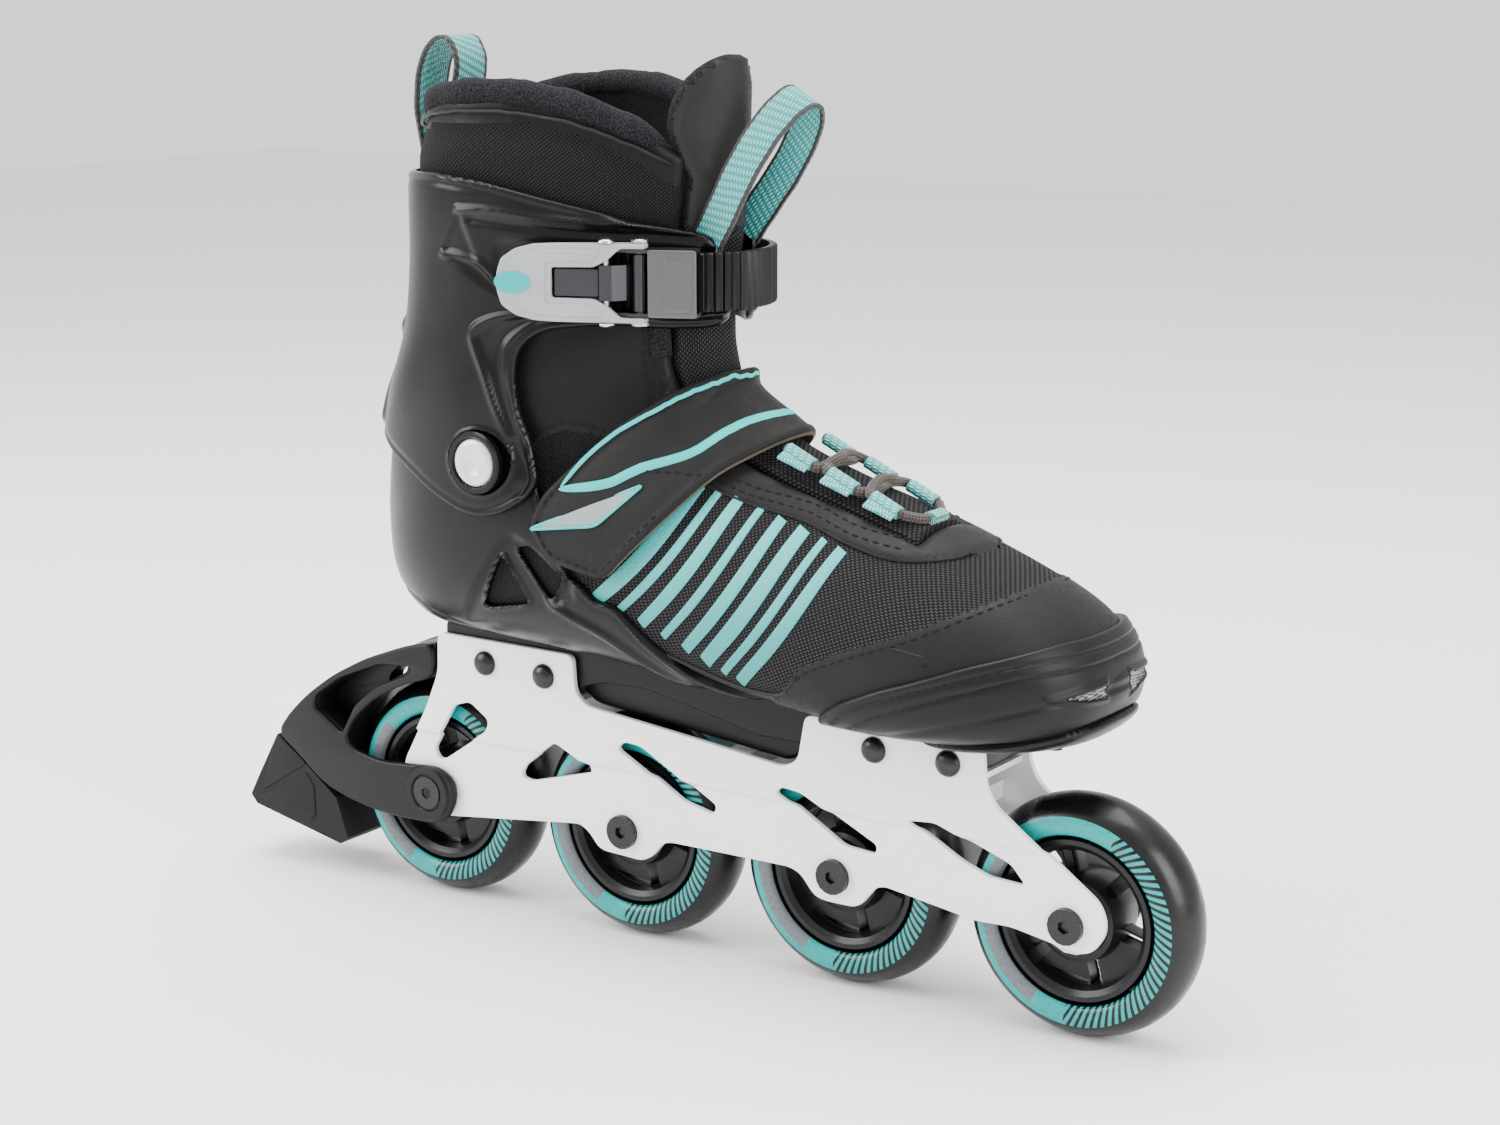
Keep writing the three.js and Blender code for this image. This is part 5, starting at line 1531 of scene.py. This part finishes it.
def add_brake():
    spans = ((-BRAKE_HALF, -CHEEK_INNER), (CHEEK_INNER, BRAKE_HALF))
    cheeks = [plate_mesh(BRAKE_CHEEK, [BRAKE_WINDOW], low, high, 1.1, 4) for low, high in spans]
    core = brake_core()
    walls = [plate_mesh(core, [BRAKE_WINDOW], 4, CHEEK_INNER + 0.5, 0.3),
             plate_mesh(core, [BRAKE_WINDOW], -CHEEK_INNER - 0.5, -4, 0.3),
             plate_mesh(core, [BRAKE_SLOT], -4.1, 4.1, 0.3)]
    housing = join_meshes("brake_shell", cheeks + walls, [BRAKE_PLASTIC], 40)
    attach(housing, "root", ("brake_housing",))
    for side, name in SIDES:
        boss = [[6.8, 0.1], [7.4, 0.9], [10.2, 0.9], [11.0, 0.1], [11.0, -0.6], [6.8, -0.6]]
        profile = [[r, side * (BRAKE_HALF + y)] for r, y in boss]
        facing = profile if side > 0 else profile[::-1]
        ring = add_turned(f"brake_boss_{name}", (0, 0, AXLE_Z), facing, [BRAKE_PLASTIC])
        attach(ring, "root")
        for i, outline in enumerate(PAD_PANELS):
            low, high = sorted((side * 17.0, side * 17.75))
            plate = plate_mesh(outline, [], low, high, 0.35)
            panel = join_meshes(f"pad_panel_{name}_{i + 1}", [plate], [PAD_RUBBER])
            attach(panel, "root")


NODE_FINISHES = {
    "insole": (INSOLE_FOAM, 0.6),
    "buckle_base": (DARK_METAL, 0.35),
    "lever_pin": (NICKEL, 0.3),
    "pawl_pin": (NICKEL, 0.3),
    "drive_pawl": (DARK_METAL, 0.3),
    "lock_pawl": (DARK_METAL, 0.3),
    "ratchet_screw": (BLACK_STEEL, 0.5),
    "brake_pad": (PAD_RUBBER, 0.8),
    "brake_screw": (BLACK_STEEL, 0.4),
}


def finish_nodes():
    for node, (material, bevel) in NODE_FINISHES.items():
        finish_node(node, material, bevel)
    for i in range(WHEEL_COUNT):
        finish_node(f"bearing_outer_{i + 1}", STEEL, 0.3)
        finish_node(f"bearing_inner_{i + 1}", STEEL, 0.3)
        finish_node(f"bearing_spacer_{i + 1}", STEEL, 0.2)
        finish_node(f"axle_bolt_{i + 1}", BLACK_STEEL, 0.5)

# ---- Straps, buckle, lace and loops ----------------------------------------------------------------

INSTEP_INNER = 3.7
INSTEP_OUTER = 6.2
INSTEP_OUTLINE = rounded([
    [71.5, 158], [80, 147], [103, 142.5], [120, 159], [141, 180], [158, 190.5], [173, 190], [180, 205],
    [150, 231], [134, 217], [117, 206], [99, 192], [76, 169],
], 5)
LENS_UPPER = smooth_path([[85, -42.1, 173.6], [92.8, -38.9, 183.6], [103.3, -34.2, 193.4], [116, -27.7, 201.7],
                          [125, -20.7, 207.5], [132.6, -10.4, 211.3], [135, 0, 212.2], [133, 10, 211.5]])
LENS_LOWER = smooth_path([[84.4, -42.3, 172.9], [102.5, -39.3, 176.2], [114.7, -34.9, 182.4],
                          [130.2, -28.2, 187.8],
                          [139, -19.9, 194.8], [143.8, -13.5, 198.1], [150, -2, 200], [150, 8, 200]])
STRAP_TRIANGLE = rounded([[72.5, 157.5], [99.7, 160.6], [115.8, 175.2]], 3)


def strap_relief(points):
    """A raised bound edge and a padded middle."""
    inside = within(points[:, [0, 2]], INSTEP_OUTLINE)
    return 0.35 * (1 - ease(inside, 2.2, 3.0)) + 0.5 * ease(inside, 3, 9)


def instep_keep(points):
    return within(points[:, [0, 2]], INSTEP_OUTLINE)


def attach_over_instep(piece, replaces=()):
    """Fixes a piece of the instep strap in place, where the strap peels open; it does not bend."""
    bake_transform(piece)
    describe(replaces)


def on_strap(line, lift):
    """[x, z] points on the instep strap's outer face, on its outer side or over the top."""
    return on_side(line, INSTEP_OUTER + lift)


def add_instep_strap():
    made = skin(instep_keep, INSTEP_OUTER, INSTEP_INNER, span=(4, 14), cell=1.4, relief=strap_relief, edge=1.1)
    strap = add_skin("instep_strap_cover", made, [STRAP_LEATHER, RAW_EDGE],
                     lambda centres: np.zeros(len(centres)), sharp=55)
    attach_over_instep(strap, ("instep_strap", "instep_strap_anchor"))
    for name, line, width in (("upper", LENS_UPPER, 0.8), ("lower", LENS_LOWER, 1.7)):
        places, normals = near_form(line, INSTEP_OUTER + 0.62)
        edge = add_sweep(f"strap_lens_{name}", places, rounded_ends(width, len(places), 10, 0.35, 0.12),
                         np.cross(normals, np.gradient(places, axis=0)), TEAL_EDGE)
        attach_over_instep(edge)
    made = skin(lambda p: np.minimum(within(p[:, [0, 2]], STRAP_TRIANGLE), -p[:, 1] - 5), INSTEP_OUTER + 0.95,
                INSTEP_OUTER + 0.2, span=(4, 14), cell=0.9, edge=0.4)
    attach_over_instep(add_skin("strap_patch", made, [REFLECTIVE]))
    outline = np.concatenate([STRAP_TRIANGLE, STRAP_TRIANGLE[:1]])
    places, normals = on_strap(outline, 0.9)
    rim = add_sweep("strap_patch_rim", places, circle(0.55, 8), normals, TEAL_EDGE)
    attach_over_instep(rim)
    inner = shrink(INSTEP_OUTLINE, 2.6)
    for side, name in SIDES:
        ring = np.array([p for p in inner if p[0] < 136])
        places, normals = on_side(ring, INSTEP_OUTER + 0.35, side)
        keep = np.abs(places[:, 1]) > 8
        row = stitch_row(f"strap_stitches_{name}", places[keep], normals[keep], THREAD, 0.32)
        attach_over_instep(row)


BUCKLE_TURN = math.radians(24)
RATCHET_LINE = 3.3
RATCHET_ROUND = [[138, -11], [139.4, 0], [137, 12], [128, 25.5], [112, 36.5], [92, 45]]
RATCHET_TAIL = [[74, 49.3]]
ANCHOR_PATH = [[72, 49.7], [61, 51], [49, 51.6], [38, 51.8]]
RIB_PITCH = 3.2
BAND_HALF = 1.25


def from_buckle(points):
    """Points of the buckle's frame (x along the strap, y toward the foot, z up) in working millimetres."""
    p = np.asarray(points, float)
    c, s = math.cos(BUCKLE_TURN), math.sin(BUCKLE_TURN)
    return np.stack([LEVER_PIN[0] + c * p[:, 0] - s * p[:, 1], LEVER_PIN[1] + s * p[:, 0] + c * p[:, 1],
                     LEVER_PIN[2] + p[:, 2]], -1)


def ladder_band(name, plan, ribs, material):
    """An upright band along a plan path, its outer face ribbed like a ladder between two smooth rails."""
    path = np.column_stack([plan, np.full(len(plan), LEVER_PIN[2])])
    run = run_along(path)
    at = np.arange(0, run[-1], 0.42)
    path = sampled(path, run, at)
    tooth = np.ones(len(at))
    if ribs:
        phase = (at % RIB_PITCH) / RIB_PITCH
        tooth = np.where(phase < 0.72, 0.55 + 0.45 * phase / 0.72, 1 - (phase - 0.72) / 0.28)
    sections = []
    for depth in tooth:
        inner_face = [[h, -BAND_HALF] for h in (-10, -9.6, 9.6, 10)]
        crest = BAND_HALF * (2.4 * depth - 1.15)
        outer_face = [[10, crest * 0.5], [9.5, crest], [-9.5, crest], [-10, crest * 0.5]]
        sections.append(inner_face + outer_face)
    points, faces, cloth = sweep(path, np.array(sections), (0, 0, 1), flat=True)
    return add_mesh(name, points, faces, [material], cloth, sharp=35)


def add_ratchet_strap():
    straight = from_buckle([[x, RATCHET_LINE, 0] for x in (-13, -7, 7, 20)])[:, :2]
    plan = smooth_path(np.concatenate([straight, RATCHET_ROUND, RATCHET_TAIL]), 12)
    strap = ladder_band("ladder_strap", plan, True, STRAP_PLASTIC)
    attach(strap, "ratchet_strap", ("ratchet_strap",))
    anchor = ladder_band("ladder_anchor", smooth_path(ANCHOR_PATH, 12), False, STRAP_PLASTIC)
    attach(anchor, "cuff", ("ratchet_anchor",))


ARM_OUTER = 13.4
ARM_INNER = 11.8
LEVER_HALF = [[-49, 3], [-47.4, 8], [-42.5, 11.4], [-36, 13], [-28, 13.4], [2.6, 13.4], [2.6, 11.8], [-6, 11.8],
              [-10.5, 7.8], [-15, 5.4], [-30, 5.2]]
CROWN_HALF = [[-46.4, 2.6], [-45, 6.9], [-40.5, 9.5], [-35, 11], [-27, 11.4], [-12.5, 11.4],
              [-16, 7.4], [-32, 7]]
LEVER_FACE = (-4.9, -2.1)


def lever_plate(half, low, high, bevel):
    """One flat outline of the lever, the same either side of the buckle's middle."""
    half = np.array(half)
    outline = np.concatenate([half, half[::-1] * [1, -1]])
    return buckle_plate(rounded(outline, 1.2, 4), low, high, bevel)


def buckle_plate(outline, low, high, bevel):
    """A plate facing out of the buckle: its outline is [x, z] and it runs from low to high in y."""
    mesh = plate_mesh(outline, [], low, high, bevel)
    points = np.array([[(v.co.x - REAR_AXLE[0]) / MM, v.co.y / MM, v.co.z / MM] for v in mesh.vertices])
    for vertex, co in zip(mesh.vertices, place(from_buckle(points))):
        vertex.co = co
    return mesh


PIN_SIDES = 28


def barrel_mesh(x, y, radius, half):
    """A round bar along the buckle's z."""
    rows = []
    for z, share in ((-half, 0.8), (-half + 0.4, 1), (half - 0.4, 1), (half, 0.8)):
        angle = np.linspace(0, 2 * math.pi, PIN_SIDES, endpoint=False)
        rows.append(np.stack([x + radius * share * np.cos(angle), y + radius * share * np.sin(angle),
                              np.full(PIN_SIDES, z)], -1))
    return loft_mesh(from_buckle(np.array(rows).reshape(-1, 3)).reshape(4, PIN_SIDES, 3))


def loft_mesh(rows):
    """A closed mesh through matching rings of points."""
    mesh = bpy.data.meshes.new("loft")
    mesh.from_pydata(place(rows.reshape(-1, 3)).tolist(), [], capped_tube(*rows.shape[:2]))
    return mesh


def arm_mesh(sign):
    """One of the lever's two arms, which straddle the base and turn on its pin."""
    outline = rounded([[-27, -4.9], [-27, -2.0], [-12, 0.8], [-3, 2.4], [1.6, 2.6], [2.9, 0.8], [2.9, -3.2],
                       [-3, -4.8]], 1.5)
    mesh = plate_mesh(outline, [], ARM_INNER, ARM_OUTER, 0.4)
    points = []
    for vertex in mesh.vertices:
        x, level, y = working(vertex.co)[0], vertex.co.y / MM, vertex.co.z / MM
        points.append([x, y, sign * level])
    for vertex, co in zip(mesh.vertices, place(from_buckle(points))):
        vertex.co = co
    return mesh


def add_lever():
    fork = lever_plate(LEVER_HALF, *LEVER_FACE, 0.45)
    crown = lever_plate(CROWN_HALF, LEVER_FACE[0] - 0.5, LEVER_FACE[0] + 0.4, 0.35)
    lever = join_meshes("lever_body", [fork, crown, arm_mesh(-1), arm_mesh(1)], [BUCKLE_GREY])
    attach(lever, "buckle_lever", ("buckle_lever",))
    spring_outline = rounded([[-29, -4.7], [-13.6, -4.7], [-13.6, 4.7], [-29, 4.7]], 0.6)
    spring = buckle_plate(spring_outline, -3.6, -2.7, 0.25)
    cover = join_meshes("lever_spring_cover", [spring], [DARK_METAL])
    attach(cover, "buckle_lever")
    roof_outline = rounded([[3.4, -11.5], [20.2, -11.5], [20.2, 11.5], [3.4, 11.5]], 1.2)
    roof = buckle_plate(roof_outline, -4.1, -3.2, 0.35)
    step = buckle_plate(rounded([[9, -9.5], [18.5, -9.5], [18.5, 9.5], [9, 9.5]], 1.5), -4.4, -3.9, 0.2)
    attach(join_meshes("receiver_cover", [roof, step], [RECEIVER_METAL]), "cuff")
    barrel = join_meshes("lever_barrel", [barrel_mesh(0, -0.6, 2.15, 10)], [DARK_METAL])
    attach(barrel, "buckle_lever")
    button = finish_button()
    attach(button, "lever_button", ("lever_button",))
    for i, (x, y) in enumerate(((0, 0), (-11, -2.9))):
        for sign, name in ((-1, "low"), (1, "high")):
            add_pin_head(f"pin_{i + 1}_{name}", x, y, sign)


def finish_button():
    """The oval release button, domed and pocketed in the thumb plate's tail."""
    rows = []
    for lift, share in ((0, 1), (-1.0, 1), (-1.7, 0.93), (-2.0, 0.75), (-1.75, 0.45), (-1.7, 0.05)):
        angle = np.linspace(0, 2 * math.pi, 40, endpoint=False)
        rows.append(np.stack([-43.2 + 6.6 * share * np.cos(angle), np.full(40, -4.1 + lift),
                              3.9 * share * np.sin(angle)], -1))
    points = from_buckle(np.array(rows).reshape(-1, 3)).reshape(6, 40, 3)
    mesh = loft_mesh(points[::-1])
    return join_meshes("button_cover", [mesh], [TEAL_PLASTIC])


def add_pin_head(name, x, y, sign):
    """A domed nickel head on the end of a buckle pin."""
    rows = []
    for radius, height in ((2.9, 0), (2.9, 0.5), (2.6, 1.0), (1.8, 1.4), (0.8, 1.6), (0.05, 1.65)):
        angle = np.linspace(0, 2 * math.pi, 28, endpoint=False)
        rows.append(np.stack([x + radius * np.cos(angle), y + radius * np.sin(angle),
                              np.full(28, sign * (ARM_OUTER + 0.25 + height))], -1))
    points = from_buckle(np.array(rows).reshape(-1, 3)).reshape(6, 28, 3)
    piece = join_meshes(name, [loft_mesh(points if sign > 0 else points[:, ::-1])], [NICKEL])
    attach(piece, "cuff" if x == 0 else "buckle_lever")


TUBE_ROWS = [[165, 187.5], [182, 181], [199, 174.6]]
TUBE_Y = 12.2
TUBE_HALF = 5.6
LACE_RADIUS = 1.75


def lace_line(first_side):
    """The lace through the woven tubes, crossing the throat between one row and the next."""
    points = []
    for row, (x, z) in enumerate(TUBE_ROWS):
        side = first_side * (-1) ** row
        for along in (-TUBE_HALF - 1, 0, TUBE_HALF + 1):
            points.append([x + along, side * TUBE_Y, z - 0.46 * along + 0.4])
        if row < len(TUBE_ROWS) - 1:
            lift = 3.0 if first_side < 0 else 1.0
            points.append([x + 9.5, side * 4.5, z - 3.4 + lift])
            points.append([x + 8.5, -side * 3.5, z - 2.8 + lift])
    return smooth_path(points, 8)


def add_lace():
    """Two ends of a braided lace that cross between woven tubes, and the bight round the toe's tube."""
    for side, name, replaced in ((-1, "near", ("lace",)), (1, "far", ())):
        path = lace_line(side)
        cord = add_sweep(f"lace_{name}", path, rounded_ends(LACE_RADIUS, len(path), 12, 0.9, 0.02), (0, 0, 1),
                         LACE_CORD)
        attach(cord, "root", replaced)
    x, z = TUBE_ROWS[-1]
    bight = smooth_path([[x + 6, -TUBE_Y, z - 2.4], [x + 10.5, -7, z - 4], [x + 12, 0, z - 4.4],
                         [x + 10.5, 7, z - 4], [x + 6, TUBE_Y, z - 2.4]], 10)
    section = rounded_ends(LACE_RADIUS, len(bight), 12, 0.9, 0.02)
    cord = add_sweep("lace_toe", bight, section, (0, 0, 1), LACE_CORD)
    attach(cord, "root")


def add_eyes():
    """Woven tubes along both edges of the throat, and one across it at the toe, which hold the lace."""
    for side, name in SIDES:
        for row, (x, z) in enumerate(TUBE_ROWS):
            centre = np.array([x, side * TUBE_Y, z + 0.4])
            path = centre + np.linspace(-TUBE_HALF, TUBE_HALF, 9)[:, None] * [0.91, 0, -0.42]
            add_tube(f"lace_tube_{name}_{row + 1}", path, (0, 1, 0))
            back = np.array([x, side * (THROAT_HALF + 1.5), z - 1.2])
            across = smooth_path([back, (back + centre) / 2 + [0, 0, 0.2], centre + [0, -side * 0.3, -1.2]], 5)
            tab = add_sweep(f"tube_tab_{name}_{row + 1}", across, flat_section(2 * TUBE_HALF, 1.0, 0.3),
                            (0.91, 0, -0.42), EYE_WEBBING, flat=True)
            attach(tab, "root")
    x, z = TUBE_ROWS[-1]
    centre = np.array([x + 12, 0, z - 4.2])
    add_tube("lace_tube_toe", centre + np.linspace(-4.5, 4.5, 9)[:, None] * [0, 1, 0], (1, 0, 0))


def add_tube(name, path, across):
    tube = add_sweep(name, path, circle(2.9, 16, 0.78), across, EYE_WEBBING)
    attach(tube, "root")


REAR_LOOP = [[-2, 0, 284], [-5, 0, 300], [-3, 0, 315], [3, 0, 324], [10, 0, 325], [14, 0, 318], [13, 0, 309],
             [11, 0, 300], [10, 0, 290]]
FRONT_LOOP = [[126, -12, 258], [133, -13, 269], [141, -12.5, 284], [149, -9, 298], [155.5, -3, 307],
              [157.5, 3.5, 307],
              [153, 9.5, 298], [144, 12, 284], [134, 12.5, 271], [126, 12, 260]]


def add_pull_loops():
    for name, path, width, across, material in (
        ("rear", REAR_LOOP, 18, (0, 1, 0), LOOP_WEBBING),
        ("front", FRONT_LOOP, 13, (0.87, 0, -0.49), FRONT_WEBBING),
    ):
        points = smooth_path(path, 10)
        sections = np.array([flat_section(width * (1 + 0.012 * math.sin(i * 0.8)), 1.5, 0.5)
                             for i in range(len(points))])
        loop = add_sweep(f"pull_loop_{name}_band", points, sections, across, material, flat=True)
        attach(loop, "cuff", (f"pull_loop_{name}",))


# ---- Light, floor and camera -----------------------------------------------------------------------

VIEW_TURN = math.radians(33.71)
VIEW_RISE = math.radians(12.48)
CAMERA_PLACE = (0.5562, -0.7951, 0.3569)
CAMERA_LENS = 66.65


def add_floor():
    bpy.ops.mesh.primitive_plane_add(size=6, location=(0, 0, 0))
    floor = bpy.context.object
    floor.name = "floor"
    floor.data.materials.append(floor_finish())


def add_softbox(name, place_at, target, size, power):
    lamp = bpy.data.lights.new(name, "AREA")
    lamp.shape = "RECTANGLE"
    lamp.size, lamp.size_y = size
    lamp.energy = power
    piece = bpy.data.objects.new(name, lamp)
    piece.location = place_at
    piece.rotation_euler = (Vector(place_at) - Vector(target)).to_track_quat("Z", "Y").to_euler()
    bpy.context.scene.collection.objects.link(piece)


def add_lights():
    world = bpy.data.worlds.new("studio")
    bpy.context.scene.world = world
    world.use_nodes = True
    world.node_tree.nodes["Background"].inputs["Color"].default_value = (1, 1, 1, 1)
    world.node_tree.nodes["Background"].inputs["Strength"].default_value = 1.35
    middle = (0, 0, 0.15)
    add_softbox("top_box", (-0.1, 0.1, 1.5), middle, (1.4, 1.0), 40)
    add_softbox("left_box", (-1.1, -0.9, 0.9), middle, (0.8, 1.2), 34)
    add_softbox("right_box", (1.3, -0.2, 0.7), middle, (0.6, 1.0), 22)


def add_camera():
    data = bpy.data.cameras.new("camera")
    data.lens = CAMERA_LENS
    camera = bpy.data.objects.new("camera", data)
    camera.location = CAMERA_PLACE
    camera.rotation_euler = (math.pi / 2 - VIEW_RISE, 0, VIEW_TURN)
    bpy.context.scene.collection.objects.link(camera)
    bpy.context.scene.camera = camera


def build():
    add_camera()
    add_boot()
    add_collar_roll()
    add_tongue()
    add_stripes()
    add_seams()
    add_shell()
    add_toe_cap()
    add_cuff()
    add_pivots()
    add_wheels()
    add_frame()
    add_brake()
    add_instep_strap()
    add_ratchet_strap()
    add_lever()
    add_lace()
    add_eyes()
    add_pull_loops()
    finish_nodes()
    add_floor()
    add_lights()


build()
